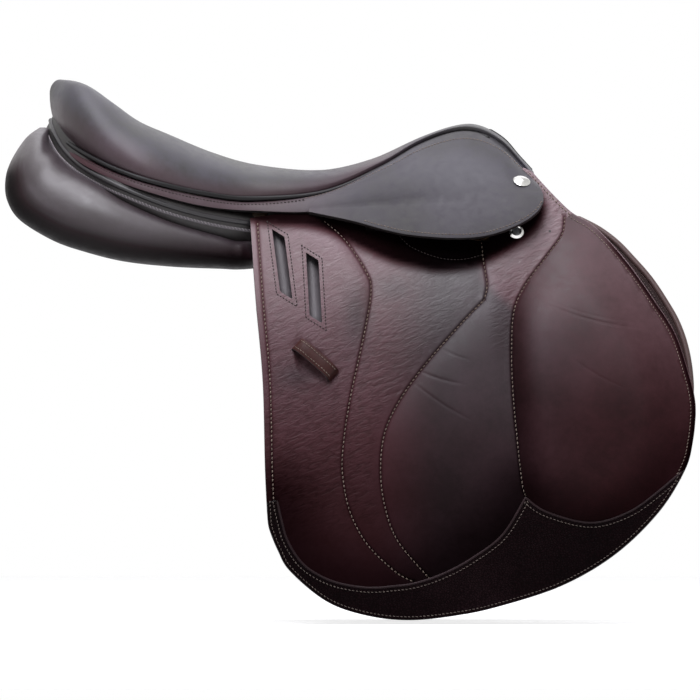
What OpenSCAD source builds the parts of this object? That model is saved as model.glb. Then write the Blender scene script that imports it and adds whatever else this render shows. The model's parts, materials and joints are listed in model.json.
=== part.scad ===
// Close-contact jumping saddle: tree, foam seat, skirts, flaps, panels and girth straps.
// Millimetres, with +X towards the horse's head, +Y to its left side and +Z up.
// The origin lies on the mid-plane under the lowest point of the seat, level with the
// inner edges of the panels, where the horse's back or a saddle rack carries the saddle.

/* [Seat] */
// Width of the seat at its waist
seat_waist_w = 176; // [168:1:182]
// Width of the seat across the cantle
seat_cantle_w = 258; // [250:1:264]
// Thickness of the seat leather
seat_leather = 2.2; // [1.6:0.1:3]
// Radius of the bead sewn round the seat
welt_r = 2.4; // [1.8:0.1:2.8]

/* [Skirts] */
// Thickness of the skirt
skirt_leather = 4.5; // [3.5:0.1:5]
// Width across both skirts at their fold lines
skirt_fold_w = 220; // [216:1:226]
// Radius of the skirt's round from top to bottom
skirt_round_r = 170; // [150:5:200]
// Radius of the saddle nail's dome head
nail_r = 8; // [6:0.5:9]

/* [Flaps] */
// Width between the sweat flaps at the height of the flap's fold line
flap_top_w = 188; // [187:0.5:191]
// Radius of the barrel shape that the flaps lie on
barrel_r = 880; // [840:5:920]
// Slope of the flap's fold line, falling to the front, in degrees
fold_slope = 5.5; // [5:0.1:6]
// Thickness of the flap
flap_leather = 5; // [4:0.1:6]
// Thickness of the sweat flap
sweat_leather = 3; // [2:0.1:3.5]
// Radius of the binding on the sweat flap's front edge
binding_r = 3; // [2.4:0.1:3.4]
// Thickness of the wear patch
patch_leather = 1.8; // [1.2:0.1:2.5]
// Height of the knee pad above the flap
pad_h = 14; // [8:0.5:18]
// Width of a slot
slot_w = 11.5; // [10:0.5:13]
// Length of a slot
slot_l = 58; // [48:1:60]

/* [Keeper loop] */
// Length of the loop along the flap
keeper_l = 47; // [44:1:52]
// Width of its strap
keeper_w = 14; // [12:0.5:16]
// Thickness of its strap
keeper_t = 2.6; // [2:0.1:3.2]
// Height of the space under it
keeper_gap = 8.5; // [8.5:0.5:11]

/* [Girth straps] */
// Width of a strap
billet_w = 24; // [20:0.5:25]
// Thickness of a strap
billet_t = 4; // [3:0.1:5]
// Length of a strap
billet_l = 275; // [240:5:285]
// Radius of a buckle hole
buckle_hole_r = 2.5; // [2:0.1:3]
// Spacing of the buckle holes
buckle_hole_pitch = 25; // [20:1:26]
// Number of buckle holes in a strap
buckle_hole_count = 6; // [4:1:7]

/* [Stirrup bars] */
// Length of the bar behind its arm
bar_l = 70; // [60:1:74]
// Height of the bar
bar_h = 10; // [8:0.5:11]
// Thickness of the bar
bar_t = 7; // [6:0.5:8]
// Space between the bar and its plate, for the stirrup leather
bar_gap = 10; // [8:0.5:11]
// Thickness of the bar's plate
plate_t = 3; // [2:0.1:3.5]
// Length of the safety catch
catch_l = 24; // [20:1:26]
// Radius of the catch's hinge pin
pin_r = 2; // [1.5:0.1:2.4]

/* [Tree and panels] */
// Thickness of the tree's rails
rail_t = 10; // [8:0.5:11]
// Thickness of the tree's head
head_t = 14; // [12:0.5:15]
// Thickness of the head plate and the gullet plate
head_plate_t = 2; // [1.5:0.1:2.4]
// Thickness of the spring steels
spring_t = 2; // [1.5:0.1:2.4]
// Radius of the rivets
rivet_r = 2.5; // [2:0.1:3]
// Thickness of the webs
web_t = 1.6; // [1.2:0.1:1.8]
// Width of the channel between the panels
channel_w = 66; // [60:1:72]
// Radius of the cup washer
washer_r = 7; // [6:0.5:8]
// Radius of the panel screw
screw_r = 2.5; // [2:0.1:3]

/* [Hidden] */
$fn = 48;

// Space between pieces of one body that lie on each other, and between pieces that move
seat_gap = 0.2;
move_gap = 0.3;
// Running fit of a pin in its bore
pin_fit = 0.05;
// Past-the-face length of every cut, and a length too small to matter
cut = 1;
tiny = 0.001;
// Half the height of the space that the outlines are cut from
reach = 500;

// Layers on the barrel, as radii from the inside out
billet_play_in = 2.4;
billet_play_out = 1.3;
sweat_out_r = barrel_r + sweat_leather;
billet_in_r = sweat_out_r + billet_play_in;
billet_out_r = billet_in_r + billet_t;
flap_in_r = billet_out_r + billet_play_out;
flap_out_r = flap_in_r + flap_leather;
trim_in_r = flap_out_r + seat_gap;

// Barrel axis: its depth below the fold line and its side offset
barrel_drop = 380;
barrel_y0 = flap_top_w / 2 - sqrt(barrel_r * barrel_r - barrel_drop * barrel_drop);
barrel_fn = 720;
// Height of the flap's fold line on the sloped frame, and the least space beside the line
fold_z = 1.5;

// Skirt's round: slope of the fold line, its height at the waist and the lean of the leather there
skirt_slope = -3.5;
skirt_fold_z = 19;
skirt_lean = 36;
skirt_axis_y = skirt_fold_w / 2 - skirt_round_r * cos(skirt_lean);
skirt_axis_z = skirt_fold_z - skirt_round_r * sin(skirt_lean);

// Seat edge, as the widest line of the cover, from the pommel back to the cantle: x, half width, z
waist_y = seat_waist_w / 2;
cantle_y = seat_cantle_w / 2;
seat_edge = [
  [216, 70, 46], [203, 56, 62], [186, 45, 80], [165, 38, 91], [142, 41, 91.5],
  [110, 55, 80], [73, 72, 59], [20, waist_y, 36.5], [-46, 1.136 * waist_y, 30],
  [-92, 0.915 * cantle_y, 35.3], [-138, cantle_y, 46], [-170, 0.93 * cantle_y, 57],
  [-197, 0.752 * cantle_y, 70], [-219, 0.45 * cantle_y, 83], [-232, 0, 92]
];
// Middle line of the seat, x and z, ending at the centre of the cantle's curve
seat_spine = [
  [213, 0, 56], [202, 0, 69], [188, 0, 86], [166, 0, 97.5], [146, 0, 97.5],
  [110, 0, 86], [66, 0, 66.5], [18, 0, 56], [-38, 0, 59],
  [-76, 0, 67.5], [-108, 0, 78], [-128, 0, 84], [-140, 0, 88], [-148, 0, 91], [-152, 0, 92.5]
];
// Height of the crest on each line from the spine to the edge
seat_crest = [56, 69, 86, 97.5, 97.5, 86, 66.5, 56, 61, 74, 93, 109.5, 126, 137, 140];
// Height of the foam's underside along the spine, and the thickness of its rim
seat_ground = [47, 59, 75, 85.5, 85.5, 74, 44, 27, 28.5, 31, 36, 41, 44, 46, 47];
foam_rim = 2;
seat_rows = len(seat_edge) - 1;
waist_row = 8;
seat_steps = [0, 0.22, 0.45, 0.66, 0.82, 0.93, 1];
// Share of each line where the side starts to roll over, height of the roll above the edge and
// draw of the lower edge under it, each at the waist and then what the cantle adds
roll_start = [0.3, 0.58];
roll_h = [3, 32];
hem_draw = [0.5, 9];
// Share of each line that the foam's flat underside reaches
ground_share = 0.97;

// Tree seen from above, outer and inner edge of a rail and the cantle: x, half width
tree_outer = [
  [98, 66], [50, 72], [0, 76], [-50, 86], [-83, 95], [-120, 106], [-162, 108],
  [-180, 100], [-196, 86], [-209, 60], [-217, 30], [-219, 0]
];
tree_inner = [[98, 32], [50, 36], [0, 40], [-60, 50], [-120, 62], [-158, 60], [-178, 36], [-184, 0]];
// Top of the tree's rails seen from the side
tree_top = [
  [-226, 82], [-209, 68], [-196, 58], [-180, 49], [-162, 41], [-120, 31], [-83, 25.5],
  [-50, 22], [0, 20], [50, 25], [100, 45]
];
// Side outline of the tree's head with its points
head_side = [
  [88, 30], [112, 60], [138, 80], [168, 80], [186, 67], [203, 47], [210, 34],
  [210, -20], [204, -28], [176, -28], [168, -20], [160, -12], [150, -10], [88, -5]
];
head_x = [80, 220];
// Leg of the head: depth of its outer face inside the sweat flap's line, for the packing, its half
// width at z = 0 and its slope
leg_in = 10;
leg_y = flap_top_w / 2 - leg_in;
leg_slope = 0.4;
leg_tilt = atan(leg_slope);
crown_r = 30;
crown_z = 80;
crown_y = leg_y - crown_r / cos(leg_tilt) - leg_slope * (crown_z - crown_r);
leg_end_z = -70;

// Flap outline seen from the side, clockwise from the rear top
flap_rear = [[-46, 11], [-40.5, -64], [-34, -138], [-31.8, -220], [-29.5, -267]];
flap_bottom = [
  [-29.5, -267], [-9, -313], [24, -340.5], [60, -353.5], [100, -358], [145, -353.5], [184, -345],
  [241, -326], [290, -297], [330, -258], [354, -219], [363, -170]
];
flap_front = [[363, -170], [358, -138], [346, -97], [327, -66], [301, -29], [273, 2], [251, 16], [225, 37]];
flap_top = [[225, 37], [205, 26], [180, 23], [70, 21], [0, 18], [-46, 11]];
flap_outline = concat(open_curve(flap_rear, 3), curve(flap_bottom, 4), open_curve(flap_front, 4), flap_top);

// Notch in the flap's head for the stirrup bar, and the strip of leather left below it
notch_front = 174;
notch_rear = 60;
notch_strip = 4.5;

// Slots: upper rear corner and slant of each
slot_corners = [[-25.8, 0.9], [5.5, -20.7]];
slot_slants = [7.4, 3.3];
slot_end_slope = 0.62;

// Knee pad edges from top to bottom, rear and front
pad_rear = [
  [231, -27], [211, -49], [200, -74], [197, -106], [198, -147], [202, -193], [207, -236], [214, -246]
];
pad_front = [
  [288, -29], [317, -61], [339, -96], [351, -132], [357, -168], [349, -210], [328, -236], [300, -254]
];
pad_edge_h = 1.2;
// Where the pad is highest, as shares of the way down and of the way to the front
pad_peak = [0.62, 0.36];

// Upper edge of the wear patch from its tab at the rear to its peak, and from there to the front
patch_rear = [
  [-16, -262], [-4, -290], [36, -321], [84, -327], [122, -324], [158, -304], [186, -280], [207, -246]
];
patch_front = [[207, -246], [226, -259], [266, -269], [300, -260], [328, -241], [370, -205]];
patch_tab = [-40, -262];

// Sweat flap outline: front edge from the top down, then bottom and rear
sweat_front = [
  [250, 10], [272, -1], [289, -13.5], [303, -28], [319.5, -47], [333.5, -68],
  [344, -87], [351.5, -109], [355.5, -134], [355.5, -155], [351, -178]
];
sweat_bottom = [
  [351, -178], [343, -208], [318, -254], [262, -295], [184, -323],
  [110, -335], [50, -322], [6, -294], [-12, -255]
];
sweat_rear = [[-12, -255], [-18, -190], [-26, -120], [-36, -40]];
sweat_top_z = -10;
sweat_front_x = 217;
sweat_peak = [[217, -4], [236, 10]];

// Keeper loop: its place on the flap and its slant
keeper_x = 14;
keeper_z = -120;
keeper_slant = 43;
keeper_foot = 6;
keeper_lift = 0.5;

// Girth straps: where each hangs, its slant and the height of its pivot above the fold line
billet_xs = [7, -19.5];
billet_slant = 6;
billet_pivot_z = 4;
billet_head = 8;
billet_tip = 14;
first_hole = 40;
web_end_z = -6;

// Stirrup bar: centre of its plate on the tree's leg
bar_x = 125;
bar_z = 4;
bar_plate_l = 82;
bar_plate_h = 18;
bar_arm_l = 12;
bar_rivet_x = 22;

// Cup washer and screw, and the felt packing under the flap there
washer_x = 199;
washer_z = -2;
washer_t = 3;
screw_l = 34;
packing_x = [186, 209];
packing_h = 20;

// Saddle nail: row and share of the skirt base where it sits
nail_row = 1.05;
nail_share = 0.66;

// Rear tail of the skirt: lower edge of the base behind its fold line
tail_edge = [[-46, 1.239 * waist_y, 16.6], [-92, 0.961 * cantle_y, 24], [-138, 1.043 * cantle_y, 37.5],
  [-172, 0.969 * cantle_y, 52.5], [-200, 0.798 * cantle_y, 64.5]];
base_fold_x = [224, 206, 188, 166, 143, 110, 73, 8];
base_swell = [3, 4, 6, 8, 9, 9, 7, 3, 1, 1, 1, 1, 1];

// Facing strip under the cantle: middle line of the strip from the flap to the rear
facing_line = [
  [-50, 106, 3], [-83, 119, 8], [-124, 131, 19], [-165, 129, 37], [-186, 116, 49],
  [-206, 96, 62], [-223, 63, 77], [-232.5, 30, 91], [-236, 0, 99]
];
facing_h = 11;
facing_t = 3;
facing_lap = 7;
facing_knee = 5;
facing_drop = 1.2;

// Panel sections: x, middle height, half thickness, inner and outer half width, fall of the outer side, lean
channel_y = channel_w / 2;
panel_rows = [
  [-270, 46, 13, 1.82 * channel_y, 104, 0, 0], [-262, 44.2, 28.8, 1.4 * channel_y, 120, 0, 0],
  [-248, 45.2, 42.8, 1.18 * channel_y, 133, 0, 2], [-238, 45.5, 49.5, 1.1 * channel_y, 137, -2, 3],
  [-228, 32, 41.5, 1.03 * channel_y, 141, -6, 1], [-212, 19.7, 35.5, channel_y, 146, -5, 0],
  [-186, 6.5, 29.5, 0.97 * channel_y, 149, -5, 0], [-160, -2.5, 25.5, 0.97 * channel_y, 149, -7, 0],
  [-120, -9.8, 23, 0.97 * channel_y, 141, 0, 0], [-75, -13.5, 21.5, channel_y, 122, 3, 0],
  [-52, -14.5, 20.5, channel_y, 111, 6, 0], [0, -16, 15, 1.03 * channel_y, 0, 14, 0],
  [70, -18, 15, 1.09 * channel_y, 0, 22, 0], [130, -36, 15, 1.18 * channel_y, 0, 34, 0],
  [175, -48, 14, 1.27 * channel_y, 0, 36, 0], [205, -54, 7, 1.48 * channel_y, 96, 30, 0]
];
// Where the panel's outer side starts to lie against the sweat flap
panel_flap_x = -52;
panel_square = 0.75;
panel_sides = 24;

// Curves and small helpers
function mix(a, b, t) = a + (b - a) * t;
function total(v) = v * [for (x = v) 1];
function unit(v) = v / norm(v);
function spline(p, q, r, s, t) = 0.5 * (2 * q + (r - p) * t + (2 * p - 5 * q + 4 * r - s) * t * t
  + (3 * q - p - 3 * r + s) * t * t * t);
function span(p, i, t) = spline(p[max(i - 1, 0)], p[i], p[i + 1], p[min(i + 2, len(p) - 1)], t);
// Smooth curve through the points p with n steps a span, with and without its last point
function open_curve(p, n) = [for (i = [0 : len(p) - 2]) for (k = [0 : n - 1]) span(p, i, k / n)];
function curve(p, n) = concat(open_curve(p, n), [p[len(p) - 1]]);
// Value at row number u of a list of rows
function at_row(p, u) = let (i = min(floor(u), len(p) - 2)) span(p, i, u - i);
function mirror_y(p) = [p[0], -p[1], p[2]];
function flip(p) = [for (i = [len(p) - 1 : -1 : 0]) p[i]];
// Height of a side curve at x, its points running towards +X
function height_at(p, x) = let (i = max([for (k = [0 : len(p) - 2]) if (p[k][0] <= x) k]))
  mix(p[i][1], p[i + 1][1], (x - p[i][0]) / (p[i + 1][0] - p[i][0]));

// Places on the barrel and on the skirt's round
function barrel_y(r, z) = barrel_y0 + sqrt(r * r - pow(z + barrel_drop, 2));
function slope_z(x, z) = x * sin(fold_slope) + z * cos(fold_slope);
function on_barrel(x, z, r) = [x, barrel_y(r, slope_z(x, z)), z];
function skirt_fold(x) = [x, skirt_fold_w / 2, skirt_fold_z / cos(skirt_slope) - x * tan(skirt_slope)];
function leg_face_y(z) = leg_y - leg_slope * z;

// Solid from points and triangles, turned the right way out
module solid(points, faces) {
  volume = total([for (f = faces) cross(points[f[0]], points[f[1]]) * points[f[2]]]);
  polyhedron(points, volume > 0 ? [for (f = faces) [f[0], f[2], f[1]]] : faces);
}

function quads(rows, cols, start) = [for (i = [0 : rows - 2]) for (j = [0 : cols - 2])
  let (a = start + i * cols + j) each [[a, a + cols, a + 1], [a + 1, a + cols, a + cols + 1]]];
function turned(faces) = [for (f = faces) [f[0], f[2], f[1]]];
function rim(line, shift) = [for (k = [0 : len(line) - 2])
  each [[line[k], line[k + 1], line[k] + shift], [line[k + 1], line[k + 1] + shift, line[k] + shift]]];
function row_line(i, cols) = [for (j = [0 : cols - 1]) i * cols + j];
function col_line(j, rows, cols) = [for (i = [0 : rows - 1]) i * cols + j];

// Closed sheet between two grids of points, with a rim on all four sides
module sheet(top, under) {
  rows = len(top);
  cols = len(top[0]);
  n = rows * cols;
  faces = concat(
    quads(rows, cols, 0), turned(quads(rows, cols, n)),
    rim(row_line(0, cols), n), turned(rim(row_line(rows - 1, cols), n)),
    turned(rim(col_line(0, rows, cols), n)), rim(col_line(cols - 1, rows, cols), n));
  solid(concat([for (r = top) each r], [for (r = under) each r]), faces);
}

// Closed solid between two fans of rows that meet along their first column
module fan(top, under) {
  rows = len(top);
  cols = len(top[0]);
  n = rows * cols;
  faces = concat(
    quads(rows, cols, 0), turned(quads(rows, cols, n)),
    rim(row_line(0, cols), n), turned(rim(row_line(rows - 1, cols), n)),
    rim(col_line(cols - 1, rows, cols), n));
  solid(concat([for (r = top) each r], [for (r = under) each r]), faces);
}

// Closed solid through a row of rings
module loft(rings) {
  n = len(rings[0]);
  last = (len(rings) - 1) * n;
  faces = concat(
    [for (i = [0 : len(rings) - 2]) for (k = [0 : n - 1]) let (a = i * n + k, b = i * n + (k + 1) % n)
      each [[a, a + n, b], [b, a + n, b + n]]],
    [for (k = [1 : n - 2]) [0, k, k + 1]],
    [for (k = [1 : n - 2]) [last, last + k + 1, last + k]]);
  solid([for (r = rings) each r], faces);
}

// Round bead along a line of points
module bead(line, r, sides) {
  last = len(line) - 1;
  loft([for (i = [0 : last])
    let (
      along = unit(line[min(i + 1, last)] - line[max(i - 1, 0)]),
      across = unit(cross(along, [0, 0, 1])),
      up = cross(across, along))
    [for (k = [0 : sides - 1]) line[i] + r * (cos(k * 360 / sides) * across + sin(k * 360 / sides) * up)]]);
}

// Grid moved along its own normals
function grid_normal(g, i, j) = unit(cross(
  g[min(i + 1, len(g) - 1)][j] - g[max(i - 1, 0)][j],
  g[i][min(j + 1, len(g[0]) - 1)] - g[i][max(j - 1, 0)]));
function moved_grid(g, d) = [for (i = [0 : len(g) - 1])
  [for (j = [0 : len(g[0]) - 1]) g[i][j] + d * grid_normal(g, i, j)]];

// One side as modelled on +Y, the other mirrored
module on_side(side) {
  mirror([0, side < 0 ? 1 : 0, 0]) children();
}

module both_sides() {
  for (side = [1, -1]) on_side(side) children();
}

// Side outline pushed through from the mid-plane to the left, or through both sides
module side_prism(outline) {
  translate([0, reach, 0]) rotate([90, 0, 0]) linear_extrude(reach) polygon(outline);
}

module through_prism(outline) {
  translate([0, reach, 0]) rotate([90, 0, 0]) linear_extrude(2 * reach) polygon(outline);
}

// Layer of leather on the barrel, and the space above or below a height on its sloped frame
module barrel_layer(inner_r, outer_r) {
  rotate([0, fold_slope, 0]) translate([-reach, barrel_y0, -barrel_drop]) rotate([0, 90, 0])
    difference() {
      cylinder(h = 2 * reach, r = outer_r, $fn = barrel_fn);
      translate([0, 0, -cut]) cylinder(h = 2 * reach + 2 * cut, r = inner_r, $fn = barrel_fn);
    }
}

module above_fold(z) {
  rotate([0, fold_slope, 0]) translate([-reach, 0, z]) cube([2 * reach, reach, reach]);
}

module below_fold(z) {
  rotate([0, fold_slope, 0]) translate([-reach, 0, z - reach]) cube([2 * reach, reach, reach]);
}

// Children placed on the barrel, with +Y as the leather's outward normal
module at_barrel(x, z, r) {
  translate(on_barrel(x, z, r)) rotate([0, fold_slope, 0])
    rotate([asin((slope_z(x, z) + barrel_drop) / r), 0, 0]) children();
}

// Cylinder along +Y from y0 to y1
module rod_y(r, y0, y1) {
  translate([0, y1, 0]) rotate([90, 0, 0]) cylinder(h = y1 - y0, r = r);
}

// Children placed on the outer face of the tree's leg, with +Y as its normal
module at_leg(x, z) {
  translate([x, leg_face_y(z), z]) rotate([leg_tilt, 0, 0]) children();
}

// Seat surface: row number u from the pommel to the cantle, step t from the spine to the edge
function cantle_share(u) = pow(max(0, u - waist_row) / (seat_rows - waist_row), 2);
function seat_out(u) = let (way = at_row(seat_edge, u) - at_row(seat_spine, u))
  unit([way[0], way[1] + tiny, 0]);
function seat_point(u, t, inset) =
  let (
    edge = at_row(seat_edge, u),
    spine = at_row(seat_spine, u),
    wide = [edge[0], edge[1], 0] - inset * seat_out(u),
    turn = roll_start * [1, sqrt(cantle_share(u))],
    side_z = edge[2] + roll_h * [1, cantle_share(u)],
    crest = at_row(seat_crest, u) - inset,
    middle = spine[2] - inset,
    s = max(0, (t - turn) / (1 - turn)),
    flow = min(1, t / turn),
    z = t < turn ? mix(middle, crest, flow * flow * (3 - 2 * flow))
      : side_z + (crest - side_z) * sqrt(1 - s * s))
  [mix(spine[0], wide[0], t), wide[1] * t, z];
// Lower edge of the seat, drawn in under its widest line
function seat_hem(u, inset) = at_row(seat_edge, u) - (hem_draw * [1, cantle_share(u)] + inset) * seat_out(u);
function seat_line(u, inset) = concat([for (t = seat_steps) seat_point(u, t, inset)], [seat_hem(u, inset)]);
function ground_line(u, inset) =
  let (hem = seat_hem(u, inset), spine = at_row(seat_spine, u), floor_z = at_row(seat_ground, u))
  concat(
    [for (t = ground_share * seat_steps)
      [mix(spine[0], hem[0], t), hem[1] * t, mix(floor_z, hem[2] - foam_rim, t * t)]],
    [hem - [0, 0, foam_rim]]);
// Row numbers once round the seat, down the left side and back up the right
seat_us = [for (i = [0 : 0.5 : seat_rows]) i];
function around(lines) = concat(lines,
  [for (i = [len(lines) - 2 : -1 : 0]) [for (p = lines[i]) mirror_y(p)]]);

foam_inset = seat_leather + seat_gap;

module seat_cover() {
  color("#3a3536") fan(
    around([for (u = seat_us) seat_line(u, 0)]),
    around([for (u = seat_us) seat_line(u, seat_leather)]));
}

module seat_foam() {
  color("#c9c3a6") fan(
    around([for (u = seat_us) seat_line(u, foam_inset)]),
    around([for (u = seat_us) ground_line(u, foam_inset)]));
}

// Bead along the seat's lower edge, just outside it
welt_out = welt_r + seat_gap;
welt_drop = 1;
function welt_point(u) = seat_hem(u, 0) + welt_out * seat_out(u) - [0, 0, welt_drop];
welt_us = [for (i = [2.5 : 0.5 : seat_rows - 1]) i];

module seat_welt(side) {
  color("#141214") on_side(side) bead([for (u = welt_us) welt_point(u)], welt_r, 8);
}

// Fixed upper part of the skirt, from the bead to the fold line and back along the tail
base_lower = concat([for (x = base_fold_x) skirt_fold(x) + [0, 0, move_gap / 2]], tail_edge);
base_last = len(base_lower) - 1;
fold_last = len(base_fold_x) - 1;
// Upper edge: beside the bead along the skirt, and under the bead along the tail
function tail_share(u) = min(1, max(0, (u - fold_last + 1) / 2));
function base_upper(u) = welt_point(u)
  + (welt_out + 2 * seat_gap) * (cos(90 * tail_share(u)) * seat_out(u) - [0, 0, sin(90 * tail_share(u))]);
function base_point(u, v) = mix(base_upper(u), at_row(base_lower, u), v)
  + at_row(base_swell, u) * 4 * v * (1 - v) * [0, 0.6, 0.8];
base_us = [0 : 0.5 : base_last];
base_vs = [0 : 0.25 : 1];
base_grid = [for (u = base_us) [for (v = base_vs) base_point(u, v)]];
// Sign that moves the base's grid inwards
base_turn = grid_normal(base_grid, 2, 2)[2] > 0 ? -1 : 1;
base_moved = moved_grid(base_grid, base_turn * skirt_leather);
// Inner face: along the fold line it is moved level, so that the lobe can lift below it
base_under = [for (i = [0 : len(base_grid) - 1]) [for (j = [0 : len(base_grid[0]) - 1])
  j == len(base_grid[0]) - 1 && i <= 2 * fold_last
    ? base_grid[i][j] - [0, skirt_leather / cos(skirt_lean), 0] : base_moved[i][j]]];

module skirt_base(side) {
  color("#6b6668") on_side(side) difference() {
    sheet(base_grid, base_under);
    at_nail() rod_y(nail_shank_r + seat_gap, -3 * skirt_leather, skirt_leather);
  }
}

// Children placed on the skirt at the nail, with +Y as the leather's outward normal
nail_shank_r = 1.6;
nail_lift = 0.7;
nail_dome_r = 1.6 * nail_r;
module at_nail() {
  step = 0.1;
  along = base_point(nail_row + step, nail_share) - base_point(nail_row - step, nail_share);
  down = base_point(nail_row, nail_share + step) - base_point(nail_row, nail_share - step);
  n = unit(cross(down, along));
  out = n[1] > 0 ? n : -n;
  translate(base_point(nail_row, nail_share)) rotate([asin(out[2]), 0, atan2(-out[0], out[1])]) children();
}

module saddle_nails() {
  dome_h = nail_dome_r - sqrt(nail_dome_r * nail_dome_r - nail_r * nail_r);
  color("#b9bcc2") both_sides() at_nail() {
    rotate([-90, 0, 0]) rotate_extrude() intersection() {
      translate([0, dome_h + nail_lift - nail_dome_r]) circle(nail_dome_r);
      translate([0, nail_lift]) square([nail_r, dome_h]);
    }
    rod_y(nail_shank_r, -2 * skirt_leather, 2 * nail_lift);
  }
}

// Lifting lobe of the skirt
skirt_lower = [
  [12, 17.6], [33, 13.6], [64, 5.5], [101, -4.6], [141, -7.4], [172, -5], [200, 4.6], [218, 16.6], [225, 30]
];
skirt_lobe = concat(curve(skirt_lower, 4), [[225, 60], [12, 60]]);

module skirt(side) {
  color("#6b6668") on_side(side) intersection() {
    rotate([0, skirt_slope, 0]) translate([-reach, skirt_axis_y, skirt_axis_z]) rotate([0, 90, 0])
      difference() {
        cylinder(h = 2 * reach, r = skirt_round_r, $fn = 180);
        translate([0, 0, -cut]) cylinder(h = 2 * reach + 2 * cut, r = skirt_round_r - skirt_leather, $fn = 180);
      }
    side_prism(skirt_lobe);
    rotate([0, skirt_slope, 0]) translate([-reach, 0, skirt_fold_z - move_gap / 2 - reach])
      cube([2 * reach, reach, reach]);
  }
}

// Arch of the tree's head at a distance outside its outer face
function arch_half(d) = concat(
  [[leg_face_y(leg_end_z) + d / cos(leg_tilt), leg_end_z]],
  [for (a = [leg_tilt : (90 - leg_tilt) / 6 : 90.01])
    [crown_y + (crown_r + d) * cos(a), crown_z - crown_r + (crown_r + d) * sin(a)]]);
function arch_line(d) = concat(arch_half(d), [for (p = flip(arch_half(d))) [-p[0], p[1]]]);

module arch_band(d0, d1, x0, x1) {
  translate([x0, 0, 0]) rotate([90, 0, 90]) linear_extrude(x1 - x0)
    polygon(concat(arch_line(d1), flip(arch_line(d0))));
}

function plan_loop(half) = concat(half, [for (p = flip(half)) if (p[1] > 0) [p[0], -p[1]]]);

// Band under the tree's top line, from depth d0 to depth d1
function top_band(d0, d1) = let (line = curve(tree_top, 3)) concat(
  [for (p = line) [p[0], p[1] - d0]], [for (p = flip(line)) [p[0], p[1] - d1]]);

rivet_spots = [[148, 42], [162, 42]];

module rivet_holes() {
  both_sides() for (s = rivet_spots) at_leg(s[0], s[1]) rod_y(rivet_r + pin_fit, -2 * head_t, head_t);
}

module bar_rivet_holes() {
  for (x = [-bar_rivet_x, bar_rivet_x]) at_leg(bar_x + x, bar_z)
    rod_y(rivet_r + pin_fit, -2 * head_t, head_t);
}

module tree_frame() {
  color("#7a5a3a") difference() {
    union() {
      intersection() {
        translate([0, 0, -reach / 2]) linear_extrude(reach)
          polygon(concat(plan_loop(curve(tree_outer, 2)), flip(plan_loop(curve(tree_inner, 2)))));
        through_prism(top_band(0, rail_t));
      }
      intersection() {
        arch_band(-head_t, 0, head_x[0], head_x[1]);
        through_prism(head_side);
      }
    }
    rivet_holes();
    both_sides() bar_rivet_holes();
    both_sides() screw_hole();
  }
}

head_plate_x = [143, 167];
head_plate_low = 31;
gullet_plate_x = [140, 190];
gullet_plate_low = 7;

module head_plate() {
  color("#8d9196") difference() {
    intersection() {
      arch_band(seat_gap, seat_gap + head_plate_t, head_plate_x[0], head_plate_x[1]);
      translate([-reach, -reach, head_plate_low]) cube(2 * reach);
    }
    rivet_holes();
  }
}

module gullet_plate() {
  depth = head_t + seat_gap;
  color("#8d9196") difference() {
    intersection() {
      arch_band(-depth - head_plate_t, -depth, gullet_plate_x[0], gullet_plate_x[1]);
      translate([-reach, -reach, gullet_plate_low]) cube(2 * reach);
      through_prism([for (p = head_side) p - [0, depth]]);
    }
    rivet_holes();
  }
}

rivet_head_h = 1.2;
rivet_head_r = 1.6 * rivet_r;

module plate_rivets() {
  outer = seat_gap + head_plate_t;
  inner = head_t + seat_gap + head_plate_t;
  color("#a0a4a8") both_sides() for (s = rivet_spots) at_leg(s[0], s[1]) {
    rod_y(rivet_r, -inner - rivet_head_h, outer + rivet_head_h);
    rod_y(rivet_head_r, outer + pin_fit, outer + rivet_head_h);
    rod_y(rivet_head_r, -inner - rivet_head_h, -inner - pin_fit);
  }
}

spring_w = 22;
spring_xs = [-160, -120, -60, 0, 50, 84];

module spring(side) {
  line = curve([for (x = spring_xs) [x, spring_y(x)]], 3);
  color("#8d9196") on_side(side) intersection() {
    translate([0, 0, -reach / 2]) linear_extrude(reach) polygon(concat(
      [for (p = line) p + [0, spring_w / 2]], [for (p = flip(line)) p - [0, spring_w / 2]]));
    through_prism(top_band(rail_t + seat_gap, rail_t + seat_gap + spring_t));
  }
}

// Middle of a rail seen from above
function spring_y(x) = (height_at(flip(tree_outer), x) + height_at(flip(tree_inner), x)) / 2;

// Web along the middle of the seat, from the head to the cantle
seat_web_w = 56;
seat_web_line = [
  [-206, 66], [-180, 50], [-120, 29], [-50, 20], [0, 18],
  [50, 22], [90, 48], [124, 71], [135, 79.2], [141, 80.4]
];
// Least space of a web above what it crosses
web_clear = 0.4;

module seat_web() {
  line = curve(seat_web_line, 3);
  low = seat_gap + web_clear;
  color("#d8d2c0") intersection() {
    through_prism(concat(
      [for (p = line) p + [0, low]], [for (p = flip(line)) p + [0, low + web_t]]));
    translate([-reach, -seat_web_w / 2, -reach]) cube([2 * reach, seat_web_w, 2 * reach]);
  }
}

// Girth web over the rails, ending behind the strap's head
web_out_r = billet_in_r - move_gap;
web_in_r = web_out_r - web_t;
// Height of the web where it crosses the rails, and its bend just outside them
web_over = 22.8;
web_bend = 2.5;
web_down = [12, 6, 0, web_end_z];
function web_side(x, r, top) = concat(
  [[0, top], [height_at(flip(tree_outer), x - billet_w / 2) + web_bend, top]],
  [for (z = web_down) [barrel_y(r, z), z - slope_z(x, 0)]]);

module girth_web(i) {
  x = billet_xs[i];
  outer = web_side(x, web_out_r, web_over + web_t);
  inner = web_side(x, web_in_r, web_over);
  color("#d8d2c0") both_sides() translate([x, 0, 0]) rotate([0, fold_slope, 0])
    translate([-billet_w / 2, 0, 0]) rotate([90, 0, 90])
      linear_extrude(billet_w) polygon(concat(outer, flip(inner)));
}

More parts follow.
